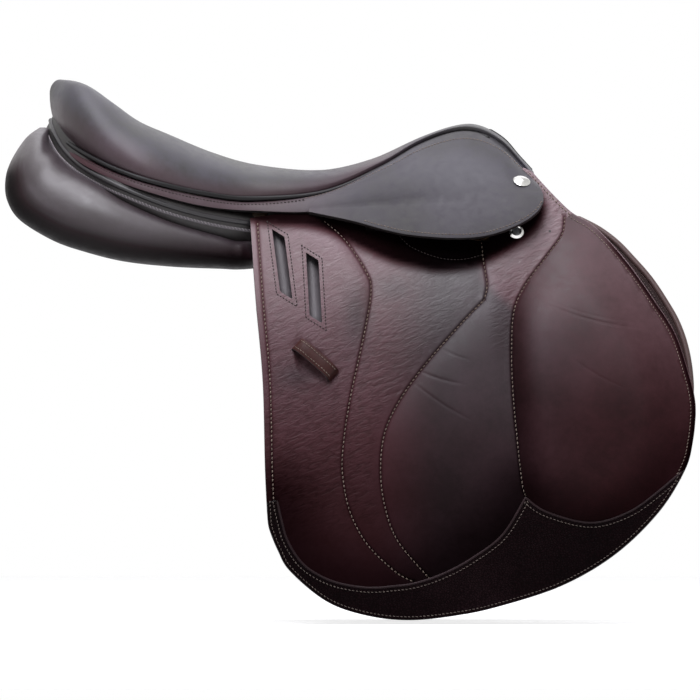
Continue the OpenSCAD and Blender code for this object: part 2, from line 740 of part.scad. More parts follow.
// Stirrup bar: plate, arm and bar, on the leg's face
bar_in = plate_t + bar_gap;
bar_rear_x = bar_plate_l / 2 - bar_arm_l - bar_l;
lap_l = 12;

// Flat section with round edges, along +X from x0 to x1, from y0 outwards
module flat_rod(x0, x1, y0, t, h) {
  translate([x0, y0 + t / 2, 0]) rotate([90, 0, 90]) linear_extrude(x1 - x0) {
    square([t, h - t], center = true);
    for (s = [-1, 1]) translate([0, s * (h - t) / 2]) circle(t / 2);
  }
}

module stirrup_bar(side) {
  color("#9a9ea3") on_side(side) difference() {
    at_leg(bar_x, bar_z) difference() {
      union() {
        translate([-bar_plate_l / 2, seat_gap, -bar_plate_h / 2]) cube([bar_plate_l, plate_t, bar_plate_h]);
        translate([bar_plate_l / 2 - bar_arm_l, seat_gap, -bar_h / 2])
          cube([bar_arm_l, bar_in + bar_t, bar_h]);
        flat_rod(bar_rear_x, bar_plate_l / 2, bar_in + seat_gap, bar_t, bar_h);
      }
      translate([bar_rear_x - cut, bar_in + seat_gap + bar_t / 2, -bar_h])
        cube([lap_l + cut, bar_t, 2 * bar_h]);
      at_catch() rod_y(pin_r + pin_fit, -bar_t, bar_t);
    }
    bar_rivet_holes();
  }
}

// Children placed at the catch's pin, +Y along the pin, y = 0 on the lap's face
module at_catch() {
  translate([bar_rear_x + lap_l / 2, bar_in + seat_gap + bar_t / 2, 0]) children();
}

catch_h = 8;

module bar_catch(side) {
  color("#9a9ea3") on_side(side) at_leg(bar_x, bar_z) at_catch() difference() {
    union() {
      rod_y(catch_h / 2, move_gap, bar_t / 2);
      translate([-catch_l, move_gap, -catch_h / 2]) cube([catch_l, bar_t / 2 - move_gap, catch_h]);
      translate([-catch_l, 0, 0]) rod_y(catch_h / 2, move_gap, bar_t / 2);
    }
    rod_y(pin_r + pin_fit, -cut, bar_t);
  }
}

module catch_pins() {
  color("#85898e") both_sides() at_leg(bar_x, bar_z) at_catch() rod_y(pin_r, -bar_t / 2, bar_t / 2);
}

// Rivets of the bar's plate, flush outside so that the stirrup leather slides over them
module bar_rivets() {
  color("#a0a4a8") both_sides() for (x = [-bar_rivet_x, bar_rivet_x]) at_leg(bar_x + x, bar_z) {
    rod_y(rivet_r, -head_t - rivet_head_h, seat_gap + plate_t);
    rod_y(rivet_head_r, -head_t - rivet_head_h, -head_t - pin_fit);
  }
}

// Slot through the flap: slanted sides and slanted ends
module slot(i) {
  corner = slot_corners[i];
  across = slot_w * [1, -slot_end_slope];
  down = slot_l * [sin(slot_slants[i]), -cos(slot_slants[i])];
  side_prism([corner, corner + across, corner + across + down, corner + down]);
}

module flap(side) {
  color("#5a3f45") on_side(side) difference() {
    intersection() {
      barrel_layer(flap_in_r, flap_out_r);
      side_prism(flap_outline);
      below_fold(fold_z - move_gap / 2);
    }
    for (i = [0, 1]) slot(i);
  }
}

// Fixed top of the flap, cut away round the stirrup bar
module flap_head(side) {
  strip_z = fold_z + notch_strip;
  color("#5a3f45") on_side(side) difference() {
    intersection() {
      barrel_layer(flap_in_r, flap_out_r);
      side_prism(flap_outline);
      above_fold(fold_z + move_gap / 2);
    }
    intersection() {
      translate([notch_rear, 0, -reach]) cube([notch_front - notch_rear, reach, 2 * reach]);
      above_fold(strip_z);
    }
    screw_hole();
  }
}

module screw_hole() {
  at_barrel(washer_x, washer_z, flap_out_r) rod_y(screw_r + pin_fit, -screw_l - cut, washer_t + cut);
}

// Cup washer: width of its lip, height of its edge and depth of the seat for the screw's head
washer_lip = 2;
washer_edge = 0.4 * washer_t;
washer_seat = 0.5 * washer_t;

module cup_washers() {
  color("#b9bcc2") both_sides() at_barrel(washer_x, washer_z, flap_out_r) rotate([-90, 0, 0])
    translate([0, 0, seat_gap]) rotate_extrude() polygon([
      [screw_r + pin_fit, 0], [washer_r, 0], [washer_r, washer_edge], [washer_r - washer_lip, washer_t],
      [screw_head_r + seat_gap, washer_seat], [screw_r + pin_fit, washer_seat]]);
}

// Head of the panel screw
screw_head_r = screw_r + 1;
screw_head_h = 0.8;

module panel_screws() {
  color("#6d7074") both_sides() at_barrel(washer_x, washer_z, flap_out_r) {
    head = washer_seat + 2 * seat_gap;
    rod_y(screw_r, -screw_l, head + screw_head_h);
    rod_y(screw_head_r, head, head + screw_head_h);
  }
}

// Felt between the tree's leg and the flap's head, round the screw
module packing(side) {
  color("#8f8a80") on_side(side) difference() {
    intersection() {
      translate([packing_x[0], 0, washer_z - packing_h / 2])
        cube([packing_x[1] - packing_x[0], reach, packing_h]);
      barrel_layer(barrel_r / 2, flap_in_r - seat_gap);
      at_leg(0, 0) translate([-reach, seat_gap, -reach]) cube(2 * reach);
    }
    screw_hole();
  }
}

// Padded knee roll on the flap's front
pad_rows = 20;
pad_steps = [0, 0.08, 0.2, 0.35, 0.5, 0.65, 0.8, 0.92, 1];
// Swell of the pad: a runs from its top to its bottom and b from its rear to its front
function crowned(s, power) = pow(max(0, 1 - pow(abs(2 * s - 1), power)), 0.6);
function peaked(s, peak) = s < peak ? s / peak / 2 : 1 - (1 - s) / (1 - peak) / 2;
function pad_swell(a, b) = crowned(peaked(a, pad_peak[0]), 2.5) * crowned(peaked(b, pad_peak[1]), 3);
function pad_point(i, b, lift) =
  let (a = i / pad_rows, u = a * (len(pad_rear) - 1), p = mix(at_row(pad_rear, u), at_row(pad_front, u), b))
  on_barrel(p[0], p[1], trim_in_r + lift * (pad_edge_h + (pad_h - pad_edge_h) * pad_swell(a, b)));

module knee_pad(side) {
  color("#55414a") on_side(side) sheet(
    [for (i = [0 : pad_rows]) [for (b = pad_steps) pad_point(i, b, 1)]],
    [for (i = [0 : pad_rows]) [for (b = pad_steps) pad_point(i, b, 0)]]);
}

module wear_patch(side) {
  color("#2b2024") on_side(side) intersection() {
    barrel_layer(trim_in_r, trim_in_r + patch_leather);
    side_prism(flap_outline);
    side_prism(concat([patch_tab], open_curve(patch_rear, 3), curve(patch_front, 3),
      [[patch_front[len(patch_front) - 1][0], -reach], [patch_tab[0], -reach]]));
  }
}

// One face of the loop from the end of a foot, past its bend, to the crown
function strap_side(end, bend, crown, low, high) = [[end, low], [bend, low], [crown, high]];

// Leather loop sewn on the flap by its two feet
module keeper(side) {
  half = keeper_l / 2;
  crown = half - keeper_foot - keeper_gap;
  bend = 1;
  rise = keeper_gap + keeper_t;
  color("#5a3f45") on_side(side) at_barrel(keeper_x, keeper_z, flap_out_r) rotate([0, keeper_slant, 0])
    translate([0, keeper_lift, -keeper_w / 2]) linear_extrude(keeper_w) polygon(concat(
      strap_side(-half, -half + keeper_foot, -crown, 0, keeper_gap),
      flip(strap_side(half, half - keeper_foot, crown, 0, keeper_gap)),
      strap_side(half, half - keeper_foot + bend, crown + bend, keeper_t, rise),
      flip(strap_side(-half, -half + keeper_foot - bend, -crown - bend, keeper_t, rise))));
}

// Panel: rings of rounded sections from the rear to the front
function panel_out(r) = r[4] > 0 ? r[4] : barrel_y(barrel_r, slope_z(r[0], r[1] - r[5])) - move_gap;
panel_full = [for (r = panel_rows) [r[0], r[1], r[2], r[3], panel_out(r), r[5], r[6]]];
function rounded(c, power) = sign(c) * pow(abs(c), power);
function panel_side(x, y, z) = x < panel_flap_x ? y : min(y, barrel_y(barrel_r, slope_z(x, z)) - move_gap);
function panel_ring(r) = [for (k = [0 : panel_sides - 1])
  let (
    across = rounded(cos(k * 360 / panel_sides), panel_square),
    up = rounded(sin(k * 360 / panel_sides), panel_square),
    x = r[0] + r[6] * up,
    z = r[1] - r[5] * across + r[2] * up)
  [x, panel_side(x, mix(r[3], r[4], (1 + across) / 2), z), z]];

module panel(side) {
  color("#4a4244") on_side(side) loft([for (r = curve(panel_full, 3)) panel_ring(r)]);
}

// Facing strip: stands up under the cantle and laps in under the tree
function under_tree(p) = [p[0], p[1], height_at(tree_top, p[0]) - rail_t - facing_drop];
function facing_row(u) =
  let (
    p = at_row(facing_line, u),
    rail = at_row([for (i = [3 : len(tree_outer) - 1]) tree_outer[i]], u),
    inward = unit([rail[0] - p[0], rail[1] - p[1] - tiny]),
    knee = under_tree(rail - facing_knee * inward),
    half = [0, 0, facing_h / 2])
  [p - half, p, p + half, mix(p + half, knee, 0.5), knee, under_tree(rail + facing_lap * inward)];
facing_grid = around([for (u = [0 : 0.5 : len(facing_line) - 1]) facing_row(u)]);
facing_turn = grid_normal(facing_grid, 4, 1)[1] > 0 ? -1 : 1;

module panel_facing() {
  color("#3f3639") sheet(facing_grid, moved_grid(facing_grid, facing_turn * facing_t));
}

// Height of the sweat flap's top edge at x
function sweat_top(x) = (sweat_top_z - x * sin(fold_slope)) / cos(fold_slope);

module sweat_flap(side) {
  rear_x = sweat_rear[len(sweat_rear) - 1][0];
  top = [[rear_x, sweat_top(rear_x)], [sweat_front_x, sweat_top(sweat_front_x)]];
  color("#4f3a3d") on_side(side) intersection() {
    barrel_layer(barrel_r, sweat_out_r);
    side_prism(concat(open_curve(sweat_front, 2), open_curve(sweat_bottom, 4), sweat_rear, top, sweat_peak));
  }
}

// Binding rolled round the sweat flap's front edge
module sweat_binding(side) {
  edge = curve(sweat_front, 2);
  last = len(edge) - 1;
  color("#5b4444") on_side(side) bead([for (i = [0 : last])
    let (
      along = unit(edge[min(i + 1, last)] - edge[max(i - 1, 0)]),
      p = edge[i] + (binding_r + seat_gap) * [-along[1], along[0]])
    on_barrel(p[0], p[1], (barrel_r + sweat_out_r) / 2)], binding_r, 8);
}

// Girth strap hanging from its web, with buckle holes
module billet(i, side) {
  x = billet_xs[i];
  half = billet_w / 2;
  end = billet_l - billet_head;
  strap = [
    [-half, billet_head], [half, billet_head], [half, -end + billet_tip],
    [half / 2, -end], [-half / 2, -end], [-half, -end + billet_tip]
  ];
  pivot = [x, billet_pivot_z - x * sin(fold_slope)];
  color("#6f6a6c") on_side(side) difference() {
    intersection() {
      barrel_layer(billet_in_r, billet_out_r);
      side_prism([for (p = strap) pivot + turned_point(p)]);
    }
    for (k = [0 : buckle_hole_count - 1])
      let (p = pivot + turned_point([0, -end + first_hole + k * buckle_hole_pitch]))
        at_barrel(p[0], p[1], billet_out_r) rod_y(buckle_hole_r, -2 * billet_t, billet_t);
  }
}

// Point of a strap turned by its slant, its lower end towards the front
function turned_point(p) = [
  p[0] * cos(billet_slant) - p[1] * sin(billet_slant), p[0] * sin(billet_slant) + p[1] * cos(billet_slant)
];

tree_frame();
head_plate();
gullet_plate();
plate_rivets();
spring(1);  // spring_left
spring(-1);  // spring_right
seat_web();
girth_web(0);  // girth_web_front
girth_web(1);  // girth_web_rear
seat_foam();
seat_cover();
seat_welt(1);  // seat_welt_left
seat_welt(-1);  // seat_welt_right
skirt_base(1);  // skirt_base_left
skirt_base(-1);  // skirt_base_right
skirt(1);  // skirt_left
skirt(-1);  // skirt_right
saddle_nails();
stirrup_bar(1);  // stirrup_bar_left
stirrup_bar(-1);  // stirrup_bar_right
bar_rivets();
bar_catch(1);  // bar_catch_left
bar_catch(-1);  // bar_catch_right
catch_pins();
flap_head(1);  // flap_head_left
flap_head(-1);  // flap_head_right
flap(1);  // flap_left
flap(-1);  // flap_right
knee_pad(1);  // knee_pad_left
knee_pad(-1);  // knee_pad_right
wear_patch(1);  // wear_patch_left
wear_patch(-1);  // wear_patch_right
keeper(1);  // keeper_left
keeper(-1);  // keeper_right
packing(1);  // packing_left
packing(-1);  // packing_right
cup_washers();
panel_screws();
panel(1);  // panel_left
panel(-1);  // panel_right
panel_facing();
sweat_flap(1);  // sweat_flap_left
sweat_flap(-1);  // sweat_flap_right
sweat_binding(1);  // sweat_binding_left
sweat_binding(-1);  // sweat_binding_right
billet(0, 1);  // billet_front_left
billet(0, -1);  // billet_front_right
billet(1, 1);  // billet_rear_left
billet(1, -1);  // billet_rear_right
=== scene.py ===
"""Looks of the jumping saddle: leather, stitching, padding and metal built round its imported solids."""

import json
import math

import bmesh
import bpy
import numpy as np
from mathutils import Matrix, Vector
from mathutils.geometry import delaunay_2d_cdt


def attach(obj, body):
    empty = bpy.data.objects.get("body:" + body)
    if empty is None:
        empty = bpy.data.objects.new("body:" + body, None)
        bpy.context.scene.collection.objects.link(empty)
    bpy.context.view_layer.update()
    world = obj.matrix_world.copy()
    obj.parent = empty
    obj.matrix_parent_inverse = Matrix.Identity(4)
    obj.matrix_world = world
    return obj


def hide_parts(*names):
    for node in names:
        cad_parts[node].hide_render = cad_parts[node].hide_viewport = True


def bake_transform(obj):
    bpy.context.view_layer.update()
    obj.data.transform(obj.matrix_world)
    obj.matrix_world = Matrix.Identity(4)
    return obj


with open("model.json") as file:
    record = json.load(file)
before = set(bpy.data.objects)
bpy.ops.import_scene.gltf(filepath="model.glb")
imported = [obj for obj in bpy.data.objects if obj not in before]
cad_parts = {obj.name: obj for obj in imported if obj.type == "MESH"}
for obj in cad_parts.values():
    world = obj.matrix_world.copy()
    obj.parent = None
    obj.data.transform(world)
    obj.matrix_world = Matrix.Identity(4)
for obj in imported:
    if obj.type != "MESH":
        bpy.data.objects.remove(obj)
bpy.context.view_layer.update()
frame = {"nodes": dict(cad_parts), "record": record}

# Lengths below are in millimetres, and MM turns them into the frame's metres
MM = 0.001

# Barrel that the flaps lie on, as in the solids
FOLD_SLOPE = math.radians(5.5)
BARREL_R = 880
BARREL_DROP = 380
BARREL_Y = 94 - math.sqrt(BARREL_R ** 2 - BARREL_DROP ** 2)
SWEAT_OUT = BARREL_R + 3
BILLET_IN = SWEAT_OUT + 2.4
BILLET_OUT = BILLET_IN + 4
FLAP_IN = BILLET_OUT + 1.3
FLAP_T = 5
FLAP_OUT = FLAP_IN + FLAP_T

# Seat rows from the pommel to the cantle: widest line, middle line, crest and underside
SEAT_EDGE = [
    (216, 70, 46), (203, 56, 62), (186, 45, 80), (165, 38, 91), (142, 41, 91.5),
    (110, 55, 80), (73, 72, 59), (20, 88, 36.5), (-46, 100, 30),
    (-92, 118, 35.3), (-138, 129, 46), (-170, 120, 57), (-197, 97, 70), (-219, 58, 83), (-232, 0, 92),
]
SEAT_SPINE = [
    (213, 0, 56), (202, 0, 69), (188, 0, 86), (166, 0, 97.5), (146, 0, 97.5),
    (110, 0, 86), (66, 0, 66.5), (18, 0, 56), (-38, 0, 59),
    (-76, 0, 67.5), (-108, 0, 78), (-128, 0, 84), (-140, 0, 88), (-148, 0, 91), (-152, 0, 92.5),
]
SEAT_CREST = [56, 69, 86, 97.5, 97.5, 86, 66.5, 56, 61, 72.5, 89, 102, 120, 136, 140]
SEAT_GROUND = [47, 59, 75, 85.5, 85.5, 74, 44, 27, 28.5, 31, 36, 41, 44, 46, 47]
SEAT_LAST = len(SEAT_EDGE) - 1
WAIST_ROW = 8
FOAM_INSET = 2.4
# Draw-in of the lower edge, place of the crest and height of the roll, each with what the cantle adds
HEM_IN = 0.5
CANTLE_HEM_IN = 9
CREST_AT = 0.3
CANTLE_CREST_AT = 0.58
ROLL_H = 3
CANTLE_ROLL_H = 32
# Leather turned in under the edge
TUCK_IN = 10
TUCK_DOWN = 1.5
# Head band: its last row, its steps from the spine, and the share of the skirt cut back to show the seat
HEAD_ROW = 2.6
HEAD_STEP = 12
HEAD_TRIM = 0.1
HEAD_CORD_R = 0.9
# Bead round the seat: radius, distance from the lower edge, first row, drop and thinning ahead of the waist
WELT_R = 2.4
WELT_OUT = WELT_R + 0.2
WELT_START = 2.5
WELT_DROP = 1.6
WELT_THIN = 0.1

# Skirt: fold line, round of the lobe, lower edges and swell of the fixed part
SKIRT_T = 4.5
SKIRT_SLOPE = math.radians(-3.5)
SKIRT_FOLD_Y = 110
SKIRT_FOLD_Z = 19
SKIRT_R = 170
SKIRT_LEAN = math.radians(36)
SKIRT_AXIS_Y = SKIRT_FOLD_Y - SKIRT_R * math.cos(SKIRT_LEAN)
SKIRT_AXIS_Z = SKIRT_FOLD_Z - SKIRT_R * math.sin(SKIRT_LEAN)
SKIRT_FOLD_X = [224, 206, 188, 166, 143, 110, 73, 8]
FOLD_LAST = len(SKIRT_FOLD_X) - 1
SKIRT_TAIL = [
    (-46, 109, 18), (-92, 124, 22.6), (-138, 134.5, 34.5), (-172, 125, 46.5),
    (-200, 103, 60.5), (-218, 66, 74.5),
]
SKIRT_SWELL = [3, 4, 6, 8, 9, 9, 7, 3, 1, 1, 1, 1, 1, 0]
# Painted highlight on the middle of the lobe: middle, half lengths, and the shade off and on it
SHEEN_LOBE = (150, 58)
SHEEN_LOBE_HALF = (62, 26)
SKIRT_SHADE = 0.84
SHEEN_LIFT = 0.16
# Stitch row's distance from the lobe's lower edge
LOBE_ROW_IN = 3.6
# Drop of the lobe's rear corner below the fold, taken up by the end of the tail
LOBE_STEP = 2.7
SKIRT_LOWER = [
    (8, 16.8), (12, 16.2), (33, 11.9), (52, 7.6), (76, 0.9), (101, -4.4), (141, -7.4),
    (172, -5), (200, 4.6), (218, 16.6), (225, 30),
]

# Flap outline seen from the side, slots and notch
FLAP_REAR = [(-46, 11), (-40.5, -64), (-34, -138), (-31.8, -220), (-29.5, -267)]
FLAP_BOTTOM = [
    (-29.5, -267), (-27.6, -276), (-20.2, -294), (-9, -313), (24, -340.5), (60, -353.5), (100, -358),
    (145, -353.5), (184, -345), (241, -326), (290, -297), (330, -258), (354, -219),
    (361, -193), (363.5, -170),
]
FLAP_FRONT = [
    (363.5, -170), (363, -157), (359, -138), (346, -97), (327, -66), (301, -29), (273, 2), (251, 16),
    (236, 30), (222, 45), (214, 54),
]
FLAP_TOP = [(214, 54), (206, 58), (196, 36), (180, 23), (70, 21), (0, 18), (-46, 11)]
NOTCH = [(60, 0.3), (60, 40), (174, 40), (174, -10.6)]
SLOT_CORNERS = [(-25.8, 0.9), (5.5, -20.7)]
SLOT_SLANTS = [math.radians(7.4), math.radians(3.3)]
SLOT_W = 11.5
SLOT_L = 58
SLOT_END_SLOPE = 0.62

# Seams sewn across the flap
THIGH_SEAM = [
    (23, 7.4), (41.4, -9.2), (59.8, -36.8), (65.3, -55.2), (59.8, -92), (46, -156),
    (39.6, -200), (39.3, -226), (46, -259), (62, -289), (87.4, -313.7), (102, -322),
]
CALF_SEAM_TOP = [(167, -12), (169, -30), (172, -50.6), (169.3, -64.4)]
CALF_SEAM = [
    (169.3, -64.4), (147, -87.4), (115, -124), (92, -156), (78, -186),
    (74, -220), (78, -254), (90, -286), (118.7, -320),
]
PAD_SEAM = [
    (243.8, 11), (241, -4.6), (225.4, -26), (207, -51), (197, -74), (194.5, -106),
    (195.5, -147), (199.5, -193), (204.5, -236), (209, -247),
]
BAR_GUARD = [(90, -4), (103, -16), (128.8, -25.8), (150, -27), (167, -23)]
REAR_SEAM_IN = 6.5
# Relief of the flap: sink of its sewn lines, less at the rear over the straps, and the ridge beside them
SEAM_SINK = 0.9
REAR_SEAM_SINK = 0.4
SEAM_W = 0.8
RIDGE_H = 0.6
RIDGE_AT = 2.4
RIDGE_W = 1.6
# Swell of the leather between the lines, and the rolls behind the thigh seam and ahead of the calf seam
SWELL_H = 1.3
SWELL_REACH = 7
SWELL_DROP = 0.6
THIGH_ROLL_H = 2.8
CALF_SWELL_H = 2.4
ROLL_REACH = 12
# Stitch rows: height over the leather, and distance from the front edge and round the slots
STITCH_LIFT = 0.25
FRONT_ROW_IN = 2.6
SLOT_ROW_OUT = 3.4
# Hole left by a tack ahead of the skirt
TACK_HOLE = (230, -1)
TACK_R = 1.1
TACK_LIFT = 0.15
# Lower edge of the shadow painted on the flap under the skirt
SKIRT_SHADOW_LINE = [
    (-51, 11), (-25, 6.4), (5.5, 4.6), (30, -1.4), (51.5, -12), (82, -26), (105, -32), (128, -36.4),
    (158, -33), (174, -26), (196, -13), (211, -1), (219, 8), (223, 17), (222, 28),
    (214, 38), (205, 47), (196, 58),
]
# Spots painted grey as a sheen: middle and half lengths
SHEEN_SPOTS = [((52, -80), (14, 34)), ((92, -54), (28, 16)), ((-4, -134), (18, 12))]
# Creases from point to point, with their depth
FLAP_CREASES = [
    ((106, -128), (152, -142), 0.35), ((104, -140), (160, -176), 0.35), ((128, -108), (158, -120), 0.2),
    ((66, -156), (113, -138), 0.3), ((62, -146), (95, -134), 0.2),
]
PAD_CREASES = [
    ((225, -68), (318, -91), 0.32), ((232, -66), (300, -84), 0.2), ((250, -118), (300, -146), 0.18),
]

# Knee pad: height, its leather's outer and under side on the flap, and its stitch row's height and place
PAD_H = 14
PAD_TOP = 1.9
PAD_UNDER = 0.2
PAD_ROW_H = 2.15
PAD_ROW_IN = 4.6
# Knee pad outline: gaps to its seam, the flap's rim and the patch, and the height where it ends
PAD_SEAM_GAP = 0.9
PAD_RIM_GAP = 0.6
PAD_PATCH_GAP = 1
PAD_END_Z = 40

# Wear patch: leather, piping, stitch rows, and the upper edge from its tab to its peak and on to the front
PATCH_T = 1.8
PIPING_R = 1.2
UPPER_ROW_IN = 4
RIM_ROW_IN = 3
PATCH_TAB = (-40, -248)
PATCH_REAR = [
    (-21, -248), (-17, -266), (-11.5, -285), (0, -303.6), (14, -315), (34.5, -324), (62, -328.4), (87, -327),
    (108, -323.8), (133, -315), (158.7, -301), (186, -280), (207, -246),
]
PATCH_FRONT = [(207, -246), (226, -259), (266, -269), (300, -260), (328, -241), (370, -205)]

# Keeper loop
KEEPER_AT = (14, -120)
KEEPER_SLANT = math.radians(43)
KEEPER_L = 47
KEEPER_W = 14
KEEPER_T = 2.6
KEEPER_RISE = 9
KEEPER_CROWN = 0.9
# Hollow beside the keeper: width, depth, height of its rim and depth of the slits for the keeper's ends
HOLLOW_W = 18
HOLLOW_DEPTH = 2.0
HOLLOW_RIM_H = 1.0
SLIT_DEPTH = 1.6

# Panel sections that fan round its rear end: top under the facing, widest point and outline in the side view
CHANNEL_Y = 33
PANEL_FAN = [
    ((-232, 10, 94), (-236, 12, 95.5), (-241, 95.5)), ((-232.5, 14, 89), (-244.5, 46, 87), (-254, 85)),
    ((-231.5, 24, 81.5), (-251.5, 83, 70.5), (-267, 64)), ((-228.5, 36, 75.5), (-252, 106, 54), (-272, 46)),
    ((-223, 54, 69), (-246, 124, 40), (-270, 27)), ((-213, 76, 59), (-234, 136, 26), (-258, 9)),
    ((-200, 98, 50), (-214, 145, 15), (-229, -9)), ((-184, 111, 41), (-194, 149, 8), (-203, -18.5)),
    ((-160, 120, 26), (-162, 149, 0), (-165, -28)), ((-120, 116, 9), (-120, 141, -9), (-120, -33)),
    ((-75, 98, -4), (-75, 122, -17), (-75, -35)), ((-52, 90, -9), (-52, 111, -21), (-52, -35.5)),
]
PANEL_LOW = 0.62
# Panel sections under the flap: x, middle height, half thickness, inner half width and fall of the outer side
PANEL_ROWS = [
    (0, -16, 15, 34, 14), (70, -18, 15, 36, 22), (130, -36, 15, 39, 34), (175, -48, 14, 42, 36),
    (205, -54, 7, 49, 30),
]
PANEL_FLAP_X = -52
PANEL_SQUARE = 0.88
# Round front end of the panel: shares of its last section, and how far ahead each lies
PANEL_CAPS = ((0.9, 0.5), (0.7, 1.1), (0.4, 1.6), (0.02, 1.9))
# Gusset seam along the panel's side: place and width as angles, and its sink as a share of the panel
GUSSET_AT = 0.34
GUSSET_W = 0.035
GUSSET_SINK = 0.022

# Facing strip under the cantle: its middle line, and the tree's edge and top that it laps under
FACING_LINE = [
    (-40, 102, 2.5), (-83, 119, 9.5), (-124, 131, 20.5), (-165, 129, 36.5), (-186, 116, 46.5),
    (-206, 96, 58), (-223, 63, 72.5), (-232.5, 30, 88), (-236, 0, 99),
]
FACING_H = 11
FACING_T = 3
FACING_BEAD_R = 2.6
# Facing's lower edge turned down and in, its upper lip, its lean at the rear and its laps under the tree
FACING_TUCK_DOWN = 10
FACING_TUCK_IN = 7
FACING_LIP = 9
FACING_LEAN = 6
FACING_LAPS = (-5, 7)
TREE_EDGE = [
    (-50, 86), (-83, 95), (-120, 106), (-162, 108), (-180, 100), (-196, 86), (-209, 60),
    (-217, 30), (-219, 0),
]
TREE_TOP = [
    (-226, 82), (-209, 68), (-196, 58), (-180, 49), (-162, 41), (-120, 31), (-83, 25.5), (-50, 22),
    (0, 20),
]
FACING_UNDER = 11.2

# Sweat flap outline and the binding on its front edge
SWEAT_FRONT = [
    (250, 10), (272, -1), (289, -13.5), (303, -28), (319.5, -47), (333.5, -68),
    (344, -87), (351.5, -109), (355.5, -134), (355.5, -155), (351, -178),
]
SWEAT_BOTTOM = [
    (351, -178), (343, -208), (318, -254), (262, -295), (184, -323), (110, -335), (50, -322),
    (6, -294), (-12, -255),
]
SWEAT_REAR = [(-12, -255), (-18, -190), (-26, -120), (-36, -40), (-36, -6.6)]
SWEAT_TOP = [(217, -30.9), (217, -4), (236, 10)]
SWEAT_T = 3
BINDING_R = 3

# Girth straps
BILLET_XS = {"front": 7, "rear": -19.5}
BILLET_SLANT = math.radians(6)
BILLET_PIVOT_Z = 4
BILLET_W = 24
BILLET_L = 275
BILLET_HEAD = 8
BILLET_TIP = 14
BILLET_T = 4
# Strap's face: sink below its solid's, crown, fall beside its slot, sink of its stitches and thinning
BILLET_SINK = 1
BILLET_CROWN = 0.5
BILLET_FALL = 2.4
BILLET_ROW_SINK = 1.4
BILLET_THINNER = 2.3
HOLE_R = 2.5
HOLE_FIRST = 40
HOLE_PITCH = 25
HOLE_COUNT = 6

# Stitches of each row: length along the seam, spacing and thread width
FLAP_STITCH = (2.9, 4.1, 1.15)
SLOT_STITCH = (2.2, 3.2, 0.95)
SKIRT_STITCH = (2.3, 3.2, 0.8)
TAIL_STITCH = (2.2, 3.4, 1.2)
PATCH_STITCH = (2.4, 3.5, 0.8)
PAD_STITCH = (2.3, 3.3, 0.75)
KEEPER_STITCH = (2.3, 3.2, 0.75)
FACING_STITCH = (2.8, 3.4, 1.1)
SWEAT_STITCH = (2.2, 3.2, 0.7)
BILLET_STITCH = (2.4, 3.4, 0.7)

# Way up, and the turn of left points into right ones
UP = np.array([0, 0, 1])
MIRROR = np.array([1, -1, 1])


# Curves and flat shapes

def catmull(points, u):
    """Smooth curve through rows of numbers, at row numbers u."""
    rows = np.asarray(points, float)
    rows = rows.reshape(len(rows), -1)
    u = np.clip(np.atleast_1d(np.asarray(u, float)), 0, len(rows) - 1)
    i = np.minimum(u.astype(int), len(rows) - 2)
    t = (u - i)[:, None]
    before, first = rows[np.maximum(i - 1, 0)], rows[i]
    second, after = rows[i + 1], rows[np.minimum(i + 2, len(rows) - 1)]
    return 0.5 * (2 * first + (second - before) * t + (2 * before - 5 * first + 4 * second - after) * t ** 2
                  + (3 * first - before - 3 * second + after) * t ** 3)


def curve(points, steps=8):
    """Smooth line through points with a number of steps a span."""
    return catmull(points, np.linspace(0, len(points) - 1, (len(points) - 1) * steps + 1))


def spaced(line, step):
    """The same line with its points about a step apart."""
    line = np.asarray(line, float)
    along = np.concatenate([[0], np.cumsum(np.linalg.norm(np.diff(line, axis=0), axis=1))])
    at = np.linspace(0, along[-1], max(2, int(round(along[-1] / step)) + 1))
    return np.stack([np.interp(at, along, line[:, k]) for k in range(line.shape[1])], axis=1)


def unit(ways):
    """Rows of numbers scaled to length 1."""
    return ways / np.linalg.norm(ways, axis=1)[:, None]


def full_turn(count):
    """Angles evenly round a circle."""
    return np.linspace(0, 2 * math.pi, count, endpoint=False)


def circle(r):
    """Flat ring of points for a small hole."""
    turn = full_turn(12)
    return r * np.stack([np.cos(turn), np.sin(turn)], axis=1)


def bell(x, width):
    """Soft hump of height 1 at 0."""
    return np.exp(-(x / width) ** 2)


def spot(flat, middle, half):
    """Soft oval of height 1 round a middle, from its half lengths."""
    return np.exp(-((flat[:, 0] - middle[0]) / half[0]) ** 2 - ((flat[:, 1] - middle[1]) / half[1]) ** 2)


def sideways(line):
    """Unit vectors to the left of a flat line at its points."""
    way = np.gradient(np.asarray(line, float), axis=0)
    way = unit(way)
    return np.stack([-way[:, 1], way[:, 0]], axis=1)


def line_distance(points, line):
    """Distance of flat points from a line, and the side of it that they lie on."""
    best = np.full(len(points), np.inf)
    side = np.zeros(len(points))
    for a, b in zip(line[:-1], line[1:]):
        way = b - a
        share = np.clip(((points - a) @ way) / (way @ way), 0, 1)
        gap = points - (a + share[:, None] * way)
        far = np.hypot(gap[:, 0], gap[:, 1])
        nearer = far < best
        best[nearer] = far[nearer]
        side[nearer] = np.sign(way[0] * gap[nearer, 1] - way[1] * gap[nearer, 0])
    return best, side


def inside(points, loop):
    """Whether flat points lie inside a closed loop."""
    hit = np.zeros(len(points), bool)
    for a, b in zip(loop, np.roll(loop, -1, axis=0)):
        crosses = (a[1] > points[:, 1]) != (b[1] > points[:, 1])
        rise = b[1] - a[1] if b[1] != a[1] else 1e-9
        hit ^= crosses & (points[:, 0] < a[0] + (points[:, 1] - a[1]) * (b[0] - a[0]) / rise)
    return hit


def closed(loop):
    """A loop with its first point repeated at its end."""
    return np.vstack([loop, loop[:1]])


def smooth_step(x, low, high):
    """Soft rise from 0 at low to 1 at high."""
    t = np.clip((np.asarray(x, float) - low) / (high - low), 0, 1)
    return t * t * (3 - 2 * t)


